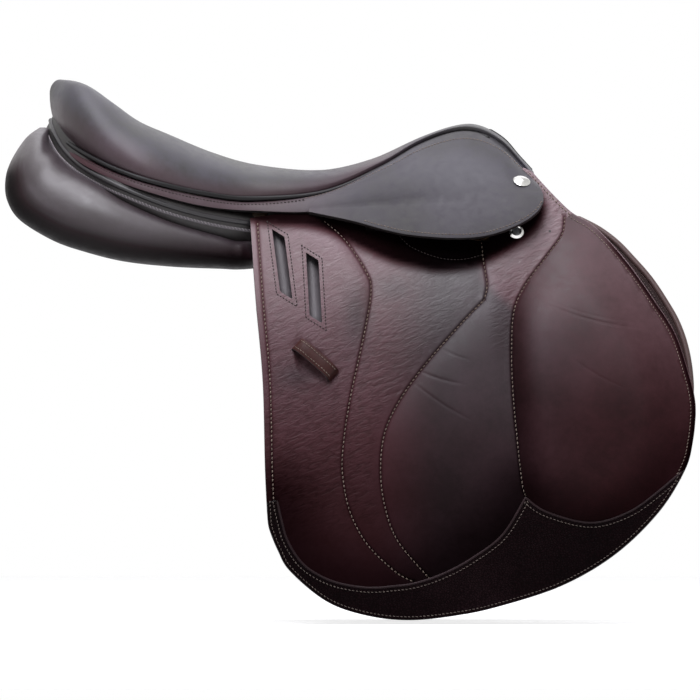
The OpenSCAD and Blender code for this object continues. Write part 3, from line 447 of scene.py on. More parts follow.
# Flap's lower and front rim, the same with its rear edge, the whole flap, and the patch's upper front edge
FLAP_RIM = np.vstack([curve(FLAP_BOTTOM)[:-1], curve(FLAP_FRONT)])
FLAP_EDGE = np.vstack([curve(FLAP_REAR)[:-1], FLAP_RIM])
FLAP_LOOP = np.vstack([FLAP_EDGE[:-1], FLAP_TOP[:-1]])
PATCH_LINE = curve(PATCH_FRONT)


def slot_loop(i):
    """Side outline of one slot."""
    corner = np.array(SLOT_CORNERS[i], float)
    across = SLOT_W * np.array([1, -SLOT_END_SLOPE])
    down = SLOT_L * np.array([math.sin(SLOT_SLANTS[i]), -math.cos(SLOT_SLANTS[i])])
    return np.array([corner, corner + across, corner + across + down, corner + down])


# Surfaces

def slope_z(x, z):
    """Height of side view points, square to the sloping fold line."""
    return x * math.sin(FOLD_SLOPE) + z * math.cos(FOLD_SLOPE)


def on_barrel(flat, r):
    """Points of the side view on the barrel at radius r."""
    flat = np.asarray(flat, float)
    x, z = flat[..., 0], flat[..., 1]
    y = BARREL_Y + np.sqrt(r ** 2 - (slope_z(x, z) + BARREL_DROP) ** 2)
    return np.stack([x, y, z], axis=-1)


def barrel_normal(flat, r):
    """Outward normal of the barrel at points of the side view."""
    rise = (slope_z(flat[..., 0], flat[..., 1]) + BARREL_DROP) / r
    level = np.sqrt(1 - rise ** 2)
    return np.stack([rise * math.sin(FOLD_SLOPE), level, rise * math.cos(FOLD_SLOPE)], axis=-1)


def seat_ways(u):
    """Edge and spine of the seat at rows u, the way out between them and the cantle's share."""
    edge, spine = catmull(SEAT_EDGE, u), catmull(SEAT_SPINE, u)
    out = edge - spine
    out[:, 2] = 0
    out[:, 1] += 1e-6
    out = unit(out)
    share = (np.maximum(0, u - WAIST_ROW) / (SEAT_LAST - WAIST_ROW)) ** 2
    return edge, spine, out, share


def seat_hem(u, inset=0):
    """Lower edge of the seat, drawn in under its widest line."""
    edge, _, out, share = seat_ways(u)
    return edge - (HEM_IN + CANTLE_HEM_IN * share + inset)[:, None] * out


def seat_grid(u, t, inset):
    """Seat surface at rows u and shares t from the spine to the widest line."""
    edge, spine, out, share = seat_ways(u)
    wide = edge - inset * out
    crest = catmull(SEAT_CREST, u)[:, 0] - inset
    turn = (CREST_AT + CANTLE_CREST_AT * np.sqrt(share))[:, None]
    side_z = (edge[:, 2] + ROLL_H + CANTLE_ROLL_H * share)[:, None]
    t = t[None, :]
    flow = np.minimum(1, t / turn)
    roll = np.clip((t - turn) / (1 - turn), 0, 1)
    middle = (spine[:, 2] - inset)[:, None]
    z = np.where(t < turn, middle + (crest[:, None] - middle) * flow ** 2 * (3 - 2 * flow),
                 side_z + (crest[:, None] - side_z) * np.sqrt(1 - roll ** 2))
    x = spine[:, :1] + (wide[:, :1] - spine[:, :1]) * t
    return np.stack([x, wide[:, 1:2] * t, z], axis=-1)


def welt_line(u):
    """Middle of the bead round the seat."""
    _, _, out, _ = seat_ways(u)
    return seat_hem(u) + WELT_OUT * out - UP


def skirt_fold(x):
    """Points of the skirt's fold line."""
    x = np.asarray(x, float)
    z = SKIRT_FOLD_Z / math.cos(SKIRT_SLOPE) - x * math.tan(SKIRT_SLOPE)
    return np.stack([x, np.full_like(x, SKIRT_FOLD_Y), z], axis=-1)


BASE_LOWER = np.vstack([skirt_fold(SKIRT_FOLD_X), SKIRT_TAIL])
BASE_LAST = len(BASE_LOWER) - 1


def skirt_base(u, v):
    """Fixed part of the skirt at rows u, from the bead at v = 0 to its lower line at v = 1."""
    _, _, out, _ = seat_ways(u)
    tail = np.clip((u - FOLD_LAST + 1) / 2, 0, 1) * math.pi / 2
    upper = welt_line(u) + (WELT_OUT + 0.4) * (np.cos(tail)[:, None] * out
                                               - np.sin(tail)[:, None] * UP)
    lower = catmull(BASE_LOWER, u)
    swell = catmull(SKIRT_SWELL, u)[:, None, :] * np.array([0, 0.6, 0.8])
    v = v[None, :, None]
    return upper[:, None] * (1 - v) + lower[:, None] * v + swell * 4 * v * (1 - v)


def skirt_lobe(x, w):
    """Lifting part of the skirt at lengthways places x, from the fold at w = 0 to the lower edge at w = 1."""
    top = skirt_fold(x)[:, 2:]
    low = np.interp(x, curve(SKIRT_LOWER)[:, 0], curve(SKIRT_LOWER)[:, 1])[:, None]
    z = top + (np.minimum(low, top - 0.3) - top) * w[None, :]
    rise = x[:, None] * math.sin(SKIRT_SLOPE) + z * math.cos(SKIRT_SLOPE) - SKIRT_AXIS_Z
    y = SKIRT_AXIS_Y + np.sqrt(SKIRT_R ** 2 - rise ** 2)
    return np.stack([np.broadcast_to(x[:, None], z.shape), y, z], axis=-1)


# Mesh pieces

# Angle in degrees from which a corner stays sharp, and the distance at which points join
SHARP = 50
JOINED = 0.05
# Sheets: point spacing on rims and lines, rows of points beside lines, free margin at rims, and the area and
# distance below which a triangle is a sliver on a rim
RIM_STEP = 2.2
LINE_STEP = 1.8
LINE_ROWS = (0, 0.8, 1.7, 3)
RIM_FREE = 1.5
SLIVER_AREA = 0.05
ON_RIM = 0.01


def grid_faces(rows, cols, wrap=False):
    """Four-sided faces of a grid of points, closed across its columns where it wraps."""
    i, j = np.meshgrid(np.arange(rows - 1), np.arange(cols if wrap else cols - 1), indexing="ij")
    a, b = i * cols + j, i * cols + (j + 1) % cols
    return np.stack([a, b, b + cols, a + cols], axis=-1).reshape(-1, 4).tolist()


def piece(name, points, faces, materials, side=1, sharp=SHARP):
    """New smooth mesh from points in millimetres, mirrored for the right side."""
    points = np.asarray(points, float).reshape(-1, 3) * MM * np.array([1, side, 1])
    if side < 0:
        faces = [f[::-1] for f in faces]
    mesh = bpy.data.meshes.new(name)
    mesh.from_pydata(points.tolist(), [], faces)
    for material in materials:
        mesh.materials.append(material)
    made = bpy.data.objects.new(name, mesh)
    bpy.context.scene.collection.objects.link(made)
    finish_mesh(made, sharp)
    return made


def finish_mesh(made, sharp=SHARP):
    """Closed faces turned outwards, smooth shading with sharp corners, and the place that materials read."""
    mesh = made.data
    work = bmesh.new()
    work.from_mesh(mesh)
    if all(edge.is_manifold for edge in work.edges) and work.calc_volume(signed=True) < 0:
        mesh.flip_normals()
    work.free()
    mesh.shade_smooth()
    mesh.set_sharp_from_angle(angle=math.radians(sharp))
    place = mesh.attributes.get("rest_place") or mesh.attributes.new("rest_place", "FLOAT_VECTOR", "POINT")
    flat = np.zeros(len(mesh.vertices) * 3, np.float32)
    mesh.vertices.foreach_get("co", flat)
    place.data.foreach_set("vector", flat)


def mark(made, name, values_at):
    """Stores a value at every point of a piece, from a function of its side view."""
    mesh = made.data
    flat = np.zeros(len(mesh.vertices) * 3, np.float32)
    mesh.vertices.foreach_get("co", flat)
    values = values_at(flat.reshape(-1, 3)[:, ::2].astype(float) / MM)
    mesh.attributes.new(name, "FLOAT", "POINT").data.foreach_set("value", values.astype(np.float32))


def apply_modifiers(made):
    """Bakes the modifiers of a piece into its mesh."""
    shown = made.evaluated_get(bpy.context.evaluated_depsgraph_get())
    mesh = bpy.data.meshes.new_from_object(shown)
    made.modifiers.clear()
    made.data = mesh


def merged(made):
    """Joins points of a piece that lie together."""
    work = bmesh.new()
    work.from_mesh(made.data)
    bmesh.ops.remove_doubles(work, verts=work.verts, dist=JOINED * MM)
    bmesh.ops.dissolve_degenerate(work, edges=work.edges, dist=JOINED * MM)
    work.to_mesh(made.data)
    work.free()


def thicken(made, thickness, rounding=1.1):
    """Gives a sheet of leather its thickness inwards, a painted edge and rounded corners."""
    solid = made.modifiers.new("thickness", "SOLIDIFY")
    solid.thickness = thickness * MM
    solid.offset = -1
    solid.material_offset_rim = 1
    bevel = made.modifiers.new("corners", "BEVEL")
    bevel.width = rounding * MM
    bevel.segments = 3
    bevel.limit_method = "ANGLE"
    bevel.angle_limit = math.radians(SHARP)
    bevel.loop_slide = False
    apply_modifiers(made)
    finish_mesh(made)


def cut_sheet(loops, features, step):
    """Triangles over the first loop with the others as holes, finer along the feature lines."""
    rims = [spaced(closed(np.asarray(loop, float)), RIM_STEP)[:-1] for loop in loops]
    edges = []
    start = 0
    for rim in rims:
        n = len(rim)
        edges += [(start + k, start + (k + 1) % n) for k in range(n)]
        start += n
    fine_lines = features + [closed(rim) for rim in rims]
    extra = []
    for line in fine_lines:
        near = spaced(line, LINE_STEP)
        aside = sideways(near)
        extra += [near + way * d * aside for d in LINE_ROWS for way in ((1, -1) if d else (1,))]
    lines = np.vstack(extra)
    low, high = rims[0].min(axis=0), rims[0].max(axis=0)
    x, z = np.meshgrid(np.arange(low[0], high[0], step), np.arange(low[1], high[1], step))
    x[1::2] += step / 2
    fill = np.stack([x.ravel(), z.ravel()], axis=1)
    for line in fine_lines:
        fill = fill[line_distance(fill, line)[0] > max(LINE_ROWS) + 0.6 * step]
    spare = np.vstack([lines, fill])
    spare = spare[within(spare, rims)]
    for rim in rims:
        spare = spare[line_distance(spare, closed(rim))[0] > RIM_FREE]
    corners = [Vector(p) for p in np.vstack(rims + [spare])]
    flat, _, faces, _, _, _ = delaunay_2d_cdt(corners, edges, [], 0, 1e-4)
    flat = np.array([tuple(p) for p in flat])
    faces = np.array(faces)
    keep = within(flat[faces].mean(axis=1), rims)
    for rim in rims:
        on_rim = line_distance(flat, closed(rim))[0] < ON_RIM
        keep &= ~(on_rim[faces].all(axis=1) & (flat_area(flat[faces]) < SLIVER_AREA))
    return flat, [tuple(f[::-1]) for f in faces[keep].tolist()]


def flat_area(corners):
    """Area of flat triangles."""
    a, b = corners[:, 1] - corners[:, 0], corners[:, 2] - corners[:, 0]
    return np.abs(a[:, 0] * b[:, 1] - a[:, 1] * b[:, 0]) / 2


def within(points, loops):
    """Whether flat points lie in the first loop and in none of the others."""
    kept = inside(points, loops[0])
    for hole in loops[1:]:
        kept &= ~inside(points, hole)
    return kept


def tube_faces(rings, sides):
    """Faces of a closed tube of rings, with its two ends."""
    last = (rings - 1) * sides
    ends = [list(range(sides))[::-1], list(range(last, last + sides))]
    return grid_faces(rings, sides, wrap=True) + ends


def tube(name, line, r, materials, side=1, sides=14):
    """Round bead along a line of points."""
    line = np.asarray(line, float)
    along = np.gradient(line, axis=0)
    along = unit(along)
    across = np.cross(along, [0, 0, 1])
    across = unit(across)
    up = np.cross(across, along)
    turn = full_turn(sides)
    size = r * np.ones(len(line))
    size[[0, -1]] *= 0.05
    size[[1, -2]] *= 0.7
    ring = np.cos(turn)[None, :, None] * across[:, None] + np.sin(turn)[None, :, None] * up[:, None]
    points = line[:, None] + size[:, None, None] * ring
    return piece(name, points, tube_faces(len(line), sides), materials, side)


def stitches(runs, size, lean):
    """Points and faces of stitches along runs of (line, normals), leaning by degrees."""
    length, pitch, width = size
    sides = 6
    steps = np.array([-1, -0.75, 0, 0.75, 1])
    girth = np.array([0.25, 0.8, 1, 0.8, 0.25])
    dip = np.array([-0.9, -0.25, 0, -0.25, -0.9])
    turn = full_turn(sides)
    points, faces = [], []
    shape = tube_faces(len(steps), sides)
    tilt = math.radians(lean)
    for line, normals in runs:
        both = spaced(np.hstack([line, normals]), pitch)
        line, normals = both[:, :3], both[:, 3:]
        way = np.gradient(line, axis=0)
        way = unit(way)
        up = normals - (normals * way).sum(axis=1)[:, None] * way
        up = unit(up)
        over = np.cross(up, way)
        thread = math.cos(tilt) * way + math.sin(tilt) * over
        cross = np.cross(up, thread)
        for middle, a, b, n in zip(line, thread, cross, up):
            start = len(steps) * sides * len(points)
            ring = (np.cos(turn)[None, :, None] * b + 0.8 * np.sin(turn)[None, :, None] * n) * width / 2
            spine = middle + steps[:, None] * a * length / 2 + (dip[:, None] + 0.35) * n * width / 2
            points.append((spine[:, None] + girth[:, None, None] * ring).reshape(-1, 3))
            faces += [[k + start for k in f] for f in shape]
    return np.vstack(points), faces


def sewn(name, runs, side, material, size, lean=10):
    """Piece made of all the stitches along some runs."""
    points, faces = stitches(runs, size, lean)
    return piece(name, points, faces, [material], side, sharp=180)


# Materials

WHITE = (1, 1, 1)


def new_material(name):
    """Empty node material with its shader, and a short way to add nodes."""
    material = bpy.data.materials.new(name)
    material.use_nodes = True
    tree = material.node_tree
    shader = tree.nodes["Principled BSDF"]

    def add(kind, inputs=None, **settings):
        made = tree.nodes.new(kind)
        for key, value in settings.items():
            setattr(made, key, value)
        for key, value in (inputs or {}).items():
            put(made.inputs[key], value)
        return made

    def put(socket, value):
        if isinstance(value, bpy.types.NodeSocket):
            tree.links.new(value, socket)
        else:
            socket.default_value = value

    def drive(**inputs):
        for key, value in inputs.items():
            put(shader.inputs[key.replace("_", " ")], value)

    return material, add, drive


def ramp(add, value, stops):
    """Colour ramp on a value, from (place, colour) stops."""
    made = add("ShaderNodeValToRGB", {"Fac": value})
    bar = made.color_ramp
    while len(bar.elements) < len(stops):
        bar.elements.new(0.5)
    for element, (place, colour) in zip(bar.elements, stops):
        element.position = place
        element.color = (*colour, 1)
    return made.outputs["Color"]


def rest_place(add):
    """Place of a point before any bending."""
    return add("ShaderNodeAttribute", attribute_name="rest_place").outputs["Vector"]


def solid_place(add):
    """Place of a point in its own solid."""
    return add("ShaderNodeTexCoord").outputs["Object"]


def maths(add, way, a, b):
    """Result of one maths operation on two values."""
    return add("ShaderNodeMath", {0: a, 1: b}, operation=way).outputs[0]


def ranged(add, value, limits):
    """Value moved to another range."""
    return add("ShaderNodeMapRange", {"Value": value, **limits}).outputs["Result"]


def bumped(add, height, strength, depth, **under):
    """Normal raised by a height, with a depth in millimetres."""
    inputs = {"Strength": strength, "Distance": depth * MM, "Height": height, **under}
    return add("ShaderNodeBump", inputs).outputs["Normal"]


def noise(add, place, scale, detail=4, rough=0.55):
    """Cloudy value of a scale."""
    made = add("ShaderNodeTexNoise", {"Vector": place, "Scale": scale, "Detail": detail, "Roughness": rough})
    return made.outputs["Fac"]


def scaled(add, place, turn, size):
    """Place turned and stretched, for marks that run one way."""
    made = add("ShaderNodeMapping", {"Vector": place, "Rotation": turn, "Scale": size})
    return made.outputs["Vector"]


def blend_value(add, a, b, share):
    """Mix of two values by a fixed share."""
    made = add("ShaderNodeMix", {"Factor": share, "A": a, "B": b}, data_type="FLOAT")
    return made.outputs["Result"]


def marked(add, name):
    """Value stored on the points of a piece."""
    return add("ShaderNodeAttribute", attribute_name=name).outputs["Fac"]


def mix_colours(add, share, a, b, way="MIX"):
    """Two colours mixed by a share."""
    made = add("ShaderNodeMix", {0: share, 6: a, 7: b}, data_type="RGBA", blend_type=way)
    return made.outputs[2]


def leather(name, dark, middle, light, rough=0.45, grain=1000, grain_depth=0.05, wrinkle=0.0, mottle=9.0,
            wrinkle_turn=0.42, specular=0.45, charcoal=None, pebbled=False):
    """Leather with mottled colour, pores and uneven shine, with marked tones and painted shade if it has
    charcoal colours, and painted shade in the grooves of its wrinkles.
    """
    material, add, drive = new_material(name)
    place = rest_place(add)
    clouds = noise(add, place, mottle, 3)
    specks = noise(add, place, 140, 5, 0.65)
    tone = blend_value(add, clouds, specks, 0.25)
    colour = ramp(add, tone, [(0.34, dark), (0.5, middle), (0.68, light)])
    if charcoal:
        toned = ramp(add, tone, [(0.4, charcoal[0]), (0.6, charcoal[1])])
        colour = mix_colours(add, marked(add, "tone"), colour, toned)
        # Painted shade: the marked shade darkens the colour, redder midway, and its square dims the shine, so
        # lit and shaded parts differ in the colour itself
        shade = ramp(add, marked(add, "shade"), [(0, (0, 0, 0)), (0.4, (0.44, 0.29, 0.3)), (1, WHITE)])
        colour = mix_colours(add, 1.0, colour, shade, "MULTIPLY")
        specular = maths(add, "MULTIPLY", maths(add, "POWER", marked(add, "shade"), 2.0), specular)
    pores = add("ShaderNodeTexVoronoi", {"Vector": place, "Scale": grain}, feature="DISTANCE_TO_EDGE")
    pebble = ranged(add, pores.outputs["Distance"], {"From Max": 0.25})
    if pebbled:
        raised = ramp(add, pebble, [(0.1, (0.35, 0.35, 0.35)), (0.9, WHITE)])
        colour = mix_colours(add, 1.0, colour, raised, "MULTIPLY")
    normal = bumped(add, pebble, 0.6, grain_depth)
    if wrinkle:
        turned = scaled(add, place, (0, wrinkle_turn, 0), (1, 1, 1))
        folds = add("ShaderNodeTexNoise", {
            "Vector": scaled(add, turned, (0, 0, 0), (105, 105, 330)),
            "Scale": 1.0, "Detail": 2.5, "Distortion": 0.7})
        # Painted shade: the wrinkles' grooves are darkened in the colour where the crease mark is set
        wrinkle_shade_ramp = ramp(add, folds.outputs["Fac"], [(0.36, (0.66, 0.58, 0.58)), (0.56, WHITE)])
        wrinkle_shaded = mix_colours(add, 1.0, colour, wrinkle_shade_ramp, "MULTIPLY")
        colour = mix_colours(add, marked(add, "crease"), colour, wrinkle_shaded)
        deep = maths(add, "MULTIPLY", folds.outputs["Fac"], marked(add, "crease"))
        normal = bumped(add, deep, 1.0, wrinkle, Normal=normal)
    shine = ranged(add, specks, {"From Min": 0.3, "From Max": 0.7,
                                 "To Min": rough - 0.06, "To Max": rough + 0.08})
    drive(Base_Color=colour, Roughness=shine, Normal=normal, Specular_IOR_Level=specular)
    return material


def edge_paint():
    """Near-black paint on cut leather edges, a little uneven."""
    material, add, drive = new_material("edge_paint")
    place = rest_place(add)
    colour = ramp(add, noise(add, place, 220), [(0.3, (0.006, 0.005, 0.005)), (0.7, (0.016, 0.012, 0.012))])
    drive(Base_Color=colour, Roughness=0.5)
    return material


def thread(name, dark, light):
    """Waxed thread with a twist along each stitch."""
    material, add, drive = new_material(name)
    place = rest_place(add)
    colour = ramp(add, noise(add, place, 260), [(0.35, dark), (0.65, light)])
    twist = add("ShaderNodeTexWave", {"Vector": scaled(add, place, (0.6, 0.5, 0), (1, 1, 1)),
                                      "Scale": 900, "Distortion": 1.0})
    drive(Base_Color=colour, Roughness=0.75, Normal=bumped(add, twist.outputs["Fac"], 0.5, 0.1))
    return material


def metal(name, colour, rough, streak):
    """Metal with fine streaks and small stains."""
    material, add, drive = new_material(name)
    place = solid_place(add)
    lines = noise(add, scaled(add, place, (0, 0, 0), streak), 1.0, 6)
    stains = noise(add, place, 90)
    toned = tuple(0.72 * c for c in colour)
    tone = ramp(add, stains, [(0.3, toned), (0.55, colour)])
    shine = ranged(add, lines, {"To Min": rough * 0.6, "To Max": rough * 1.5})
    drive(Base_Color=tone, Metallic=1.0, Roughness=shine, Normal=bumped(add, lines, 0.2, 0.05))
    return material


def wood():
    """Laminated beech of the tree, lacquered."""
    material, add, drive = new_material("tree_wood")
    place = solid_place(add)
    rings = add("ShaderNodeTexWave", {"Vector": scaled(add, place, (0, 0, 0.1), (3, 60, 60)),
                                      "Scale": 4.0, "Distortion": 6.0, "Detail": 3.0})
    colour = ramp(add, rings.outputs["Fac"], [(0.2, (0.16, 0.08, 0.035)), (0.8, (0.3, 0.17, 0.08))])
    drive(Base_Color=colour, Roughness=0.4, Normal=bumped(add, rings.outputs["Fac"], 0.3, 0.2))
    return material


def webbing():
    """Woven dark web."""
    material, add, drive = new_material("web_weave")
    place = solid_place(add)
    warp = add("ShaderNodeTexWave", {"Vector": place, "Scale": 330.0}, bands_direction="X")
    weft = add("ShaderNodeTexWave", {"Vector": place, "Scale": 330.0}, bands_direction="Y")
    weave = maths(add, "MAXIMUM", warp.outputs["Fac"], weft.outputs["Fac"])
    colour = ramp(add, weave, [(0.3, (0.012, 0.012, 0.013)), (0.9, (0.045, 0.043, 0.042))])
    drive(Base_Color=colour, Roughness=0.9, Normal=bumped(add, weave, 0.7, 0.4))
    return material


def fuzz(name, dark, light, scale):
    """Felt or foam with a rough, speckled surface."""
    material, add, drive = new_material(name)
    place = solid_place(add)
    specks = noise(add, place, scale, 8, 0.7)
    colour = ramp(add, specks, [(0.35, dark), (0.65, light)])
    drive(Base_Color=colour, Roughness=0.95, Normal=bumped(add, specks, 0.8, 0.6))
    return material


GREY = ((0.027, 0.025, 0.022), (0.064, 0.059, 0.074))
SEAT = leather("seat_leather", (0.058, 0.033, 0.037), (0.086, 0.055, 0.064), (0.118, 0.083, 0.1),
               rough=0.46, grain=1300, grain_depth=0.03, charcoal=GREY)
HEAD = leather("head_leather", (0.05, 0.024, 0.024), (0.07, 0.036, 0.036), (0.09, 0.052, 0.054),
               rough=0.46, grain=1300, grain_depth=0.03)
SKIRT = leather("skirt_leather", (0.1, 0.066, 0.074), (0.14, 0.1, 0.113), (0.18, 0.135, 0.155),
                rough=0.48, grain=1400, grain_depth=0.025, charcoal=GREY)
CHARCOAL = ((0.042, 0.03, 0.035), (0.086, 0.066, 0.078))
FLAP = leather("flap_leather", (0.13, 0.058, 0.066), (0.175, 0.09, 0.106), (0.225, 0.132, 0.158),
               rough=0.44, grain=1000, grain_depth=0.05, wrinkle=0.9, specular=0.75, charcoal=CHARCOAL)
PAD = leather("pad_leather", (0.048, 0.018, 0.021), (0.085, 0.036, 0.042), (0.128, 0.062, 0.072),
              rough=0.44, grain=1200, grain_depth=0.035, mottle=14.0, charcoal=CHARCOAL)
PATCH = leather("patch_leather", (0.005, 0.002, 0.0025), (0.01, 0.0042, 0.0052), (0.022, 0.0105, 0.0125),
                rough=0.5, grain=430, grain_depth=0.5, specular=0.02, pebbled=True)
PANEL = leather("panel_leather", (0.03, 0.02, 0.023), (0.044, 0.032, 0.038), (0.064, 0.05, 0.06),
                rough=0.4, grain=1200, grain_depth=0.03, specular=0.8, charcoal=GREY)
STRAP = leather("strap_leather", (0.1, 0.086, 0.093), (0.14, 0.124, 0.134), (0.18, 0.164, 0.178),
                rough=0.42, grain=1300, grain_depth=0.03)
BINDING = leather("binding_leather", (0.07, 0.036, 0.034), (0.1, 0.056, 0.052), (0.13, 0.08, 0.076),
                  rough=0.46, grain=1200, grain_depth=0.03)
BEAD = leather("bead_leather", (0.005, 0.004, 0.005), (0.008, 0.007, 0.008), (0.014, 0.012, 0.014),
               rough=0.4, grain=1300, grain_depth=0.02, specular=0.25)
SWEAT = leather("sweat_leather", (0.018, 0.009, 0.009), (0.03, 0.016, 0.016), (0.046, 0.027, 0.027),
                rough=0.5, grain=1200, grain_depth=0.02, specular=0.1)
FACING = leather("facing_leather", (0.13, 0.115, 0.125), (0.18, 0.163, 0.176), (0.24, 0.22, 0.235),
                 rough=0.44, grain=1300, grain_depth=0.03)
ROLL = leather("roll_leather", (0.015, 0.013, 0.0145), (0.024, 0.021, 0.024), (0.036, 0.032, 0.036),
               rough=0.34, grain=1300, grain_depth=0.02, specular=0.5)
KEEPER = leather("keeper_leather", (0.03, 0.009, 0.008), (0.052, 0.017, 0.015), (0.08, 0.03, 0.027),
                 rough=0.42, grain=1300, grain_depth=0.03, specular=0.15)
PIPING = leather("piping_leather", (0.016, 0.008, 0.009), (0.028, 0.015, 0.017), (0.046, 0.027, 0.031),
                 rough=0.42, grain=1300, grain_depth=0.03, specular=0.1)
EDGE = edge_paint()
TAN = thread("tan_thread", (0.2, 0.145, 0.115), (0.36, 0.28, 0.225))
PALE = thread("pale_thread", (0.5, 0.45, 0.46), (0.75, 0.69, 0.7))
DARK = thread("dark_thread", (0.016, 0.01, 0.01), (0.04, 0.026, 0.025))
DUN = thread("dun_thread", (0.12, 0.09, 0.078), (0.22, 0.175, 0.15))
BROWN = thread("brown_thread", (0.07, 0.045, 0.038), (0.13, 0.09, 0.075))
STEEL = metal("bar_steel", (0.46, 0.47, 0.49), 0.34, (20, 400, 400))
SILVER = metal("nail_silver", (0.64, 0.63, 0.61), 0.22, (60, 60, 60))
WOOD = wood()
WEB = webbing()
FELT = fuzz("packing_felt", (0.16, 0.15, 0.13), (0.3, 0.28, 0.25), 900)
FOAM = fuzz("seat_foam_rubber", (0.34, 0.31, 0.22), (0.5, 0.46, 0.35), 700)


# Pieces of the saddle

def seat_cover():
    """Seat leather, rolled over the edge and turned in under it, with the brown head band at its front."""
    u = np.linspace(0, SEAT_LAST, SEAT_LAST * 12 + 1)
    t = np.sin(np.linspace(0, math.pi / 2, 40))
    top = seat_grid(u, t, 0)
    _, _, out, _ = seat_ways(u)
    hem = seat_hem(u)
    flange = skirt_base(np.minimum(u, FOLD_LAST), np.array([HEAD_TRIM + 0.06]))[:, 0] - np.array([0, 0.8, 2])
    front = 1 - smooth_step(u, 2.4, 3.2)[:, None]
    tuck = (hem - TUCK_IN * out - TUCK_DOWN * UP) * (1 - front) + flange * front
    edge = top[:, -1]
    knee = np.stack([edge[:, 0], edge[:, 1], hem[:, 2] + 0.35 * (edge[:, 2] - hem[:, 2])], axis=-1)
    bend = np.linspace(0, 1, 8)[1:, None, None]
    turned = (1 - bend) ** 2 * edge + 2 * bend * (1 - bend) * knee + bend ** 2 * hem
    left = np.concatenate([top, turned.transpose(1, 0, 2), tuck[:, None]], axis=1)
    right = left[::-1] * MIRROR
    both = np.concatenate([left, right[1:]])
    made = piece("seat_cover_leather", both, grid_faces(*both.shape[:2]), [SEAT, HEAD])
    row = np.concatenate([u, u[-2::-1]])
    band = (row[:-1, None] < HEAD_ROW) & (np.arange(both.shape[1] - 1)[None, :] < HEAD_STEP)
    made.data.polygons.foreach_set("material_index", band.ravel().astype(np.int32))
    merged(made)
    finish_mesh(made)
    mark(made, "tone", seat_tone)
    mark(made, "shade", seat_shade)
    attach(made, "saddle")
    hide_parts("seat_cover")
    line = seat_grid(np.linspace(0, HEAD_ROW, 60), t[HEAD_STEP:HEAD_STEP + 1], 0)[:, 0]
    for name, side in (("left", 1), ("right", -1)):
        cord = tube("head_cord_" + name, line, HEAD_CORD_R, [BEAD], side, sides=8)
        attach(cord, "saddle")


def seat_tone(flat):
    """Where the seat's leather turns grey: above its lower edge and over the pommel."""
    hem = seat_hem(np.linspace(0, SEAT_LAST, 90))[::-1]
    above = flat[:, 1] - np.interp(flat[:, 0], hem[:, 0], hem[:, 2])
    ahead = smooth_step(flat[:, 0], -170, -90)
    side_tone = smooth_step(above, 8 - 8 * ahead, 40 - 22 * ahead)
    return np.maximum(side_tone, smooth_step(flat[:, 0], 40, 120))


def seat_shade(flat):
    """How the seat's leather darkens along its neck, between the bowl and the pommel."""
    neck = smooth_step(flat[:, 0], -40, 30) * (1 - smooth_step(flat[:, 0], 110, 170))
    return 1 - 0.28 * neck


def seat_foam():
    """Foam between the seat leather and the ground of the seat."""
    u = np.linspace(0, SEAT_LAST, SEAT_LAST * 6 + 1)
    t = np.sin(np.linspace(0, math.pi / 2, 18))
    top = seat_grid(u, t, FOAM_INSET)
    hem = seat_hem(u, FOAM_INSET)
    spine = catmull(SEAT_SPINE, u)
    floor = catmull(SEAT_GROUND, u)[:, :1]
    flat = 0.97 * t[None, :]
    under = np.stack([
        spine[:, :1] + (hem[:, :1] - spine[:, :1]) * flat,
        hem[:, 1:2] * flat,
        floor + (hem[:, 2:] - 2 - floor) * flat ** 2], axis=-1)
    left = np.concatenate([top, hem[:, None], under[:, ::-1]], axis=1)
    both = np.concatenate([left, left[-2::-1] * MIRROR])
    made = piece("seat_foam_pad", both, grid_faces(*both.shape[:2]), [FOAM])
    merged(made)
    finish_mesh(made)
    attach(made, "saddle")
    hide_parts("seat_foam")


def seat_welt(name, side):
    """Dark bead sewn between the seat and the skirt."""
    line = welt_line(np.linspace(WELT_START, SEAT_LAST - 1, 180))
    ahead = smooth_step(line[:, 0], -50, 60)
    line[:, 2] -= WELT_DROP * ahead
    r = WELT_R * (1 - WELT_THIN * ahead)
    made = tube("seat_welt_bead_" + name, line, r, [BEAD], side)
    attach(made, "saddle")
    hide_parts("seat_welt_" + name)


def skirt(name, side):
    """Skirt leather in one piece, bending along the fold line."""
    front = np.linspace(0, FOLD_LAST, FOLD_LAST * 22 + 1)
    v = np.linspace(0, 1, 15)
    trim = HEAD_TRIM * (1 - smooth_step(front, 2, 3.2))
    rows = [skirt_base(np.array([row]), cut + (1 - cut) * v) for row, cut in zip(front, trim)]
    base = np.concatenate(rows)
    lobe = skirt_lobe(base[:, -1, 0], np.linspace(0, 1, 13)[1:])
    behind = np.linspace(FOLD_LAST, BASE_LAST, 90)
    rear = skirt_base(behind, v)
    rear[:, :, 2] -= LOBE_STEP * (1 - smooth_step(behind, FOLD_LAST, FOLD_LAST + 1))[:, None] * v ** 2
    grid = np.concatenate([base, lobe], axis=1)
    faces = grid_faces(*grid.shape[:2])
    more = [[k + grid.shape[0] * grid.shape[1] for k in f] for f in grid_faces(*rear.shape[:2])]
    points = np.vstack([grid.reshape(-1, 3), rear.reshape(-1, 3)])
    made = piece("skirt_leather_" + name, points, faces + more, [SKIRT, EDGE], side)
    merged(made)
    thicken(made, SKIRT_T)
    mark(made, "tone", lambda flat: smooth_step(flat[:, 0], -60, 60))
    mark(made, "shade", skirt_shade)
    bend_skirt(made)
    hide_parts("skirt_base_" + name, "skirt_" + name)
    lobe_rows, tail_row = skirt_seams()
    bend_skirt(sewn("skirt_stitches_" + name, lobe_rows, side, TAN, SKIRT_STITCH))
    bend_skirt(sewn("tail_stitches_" + name, [tail_row], side, DARK, TAIL_STITCH))


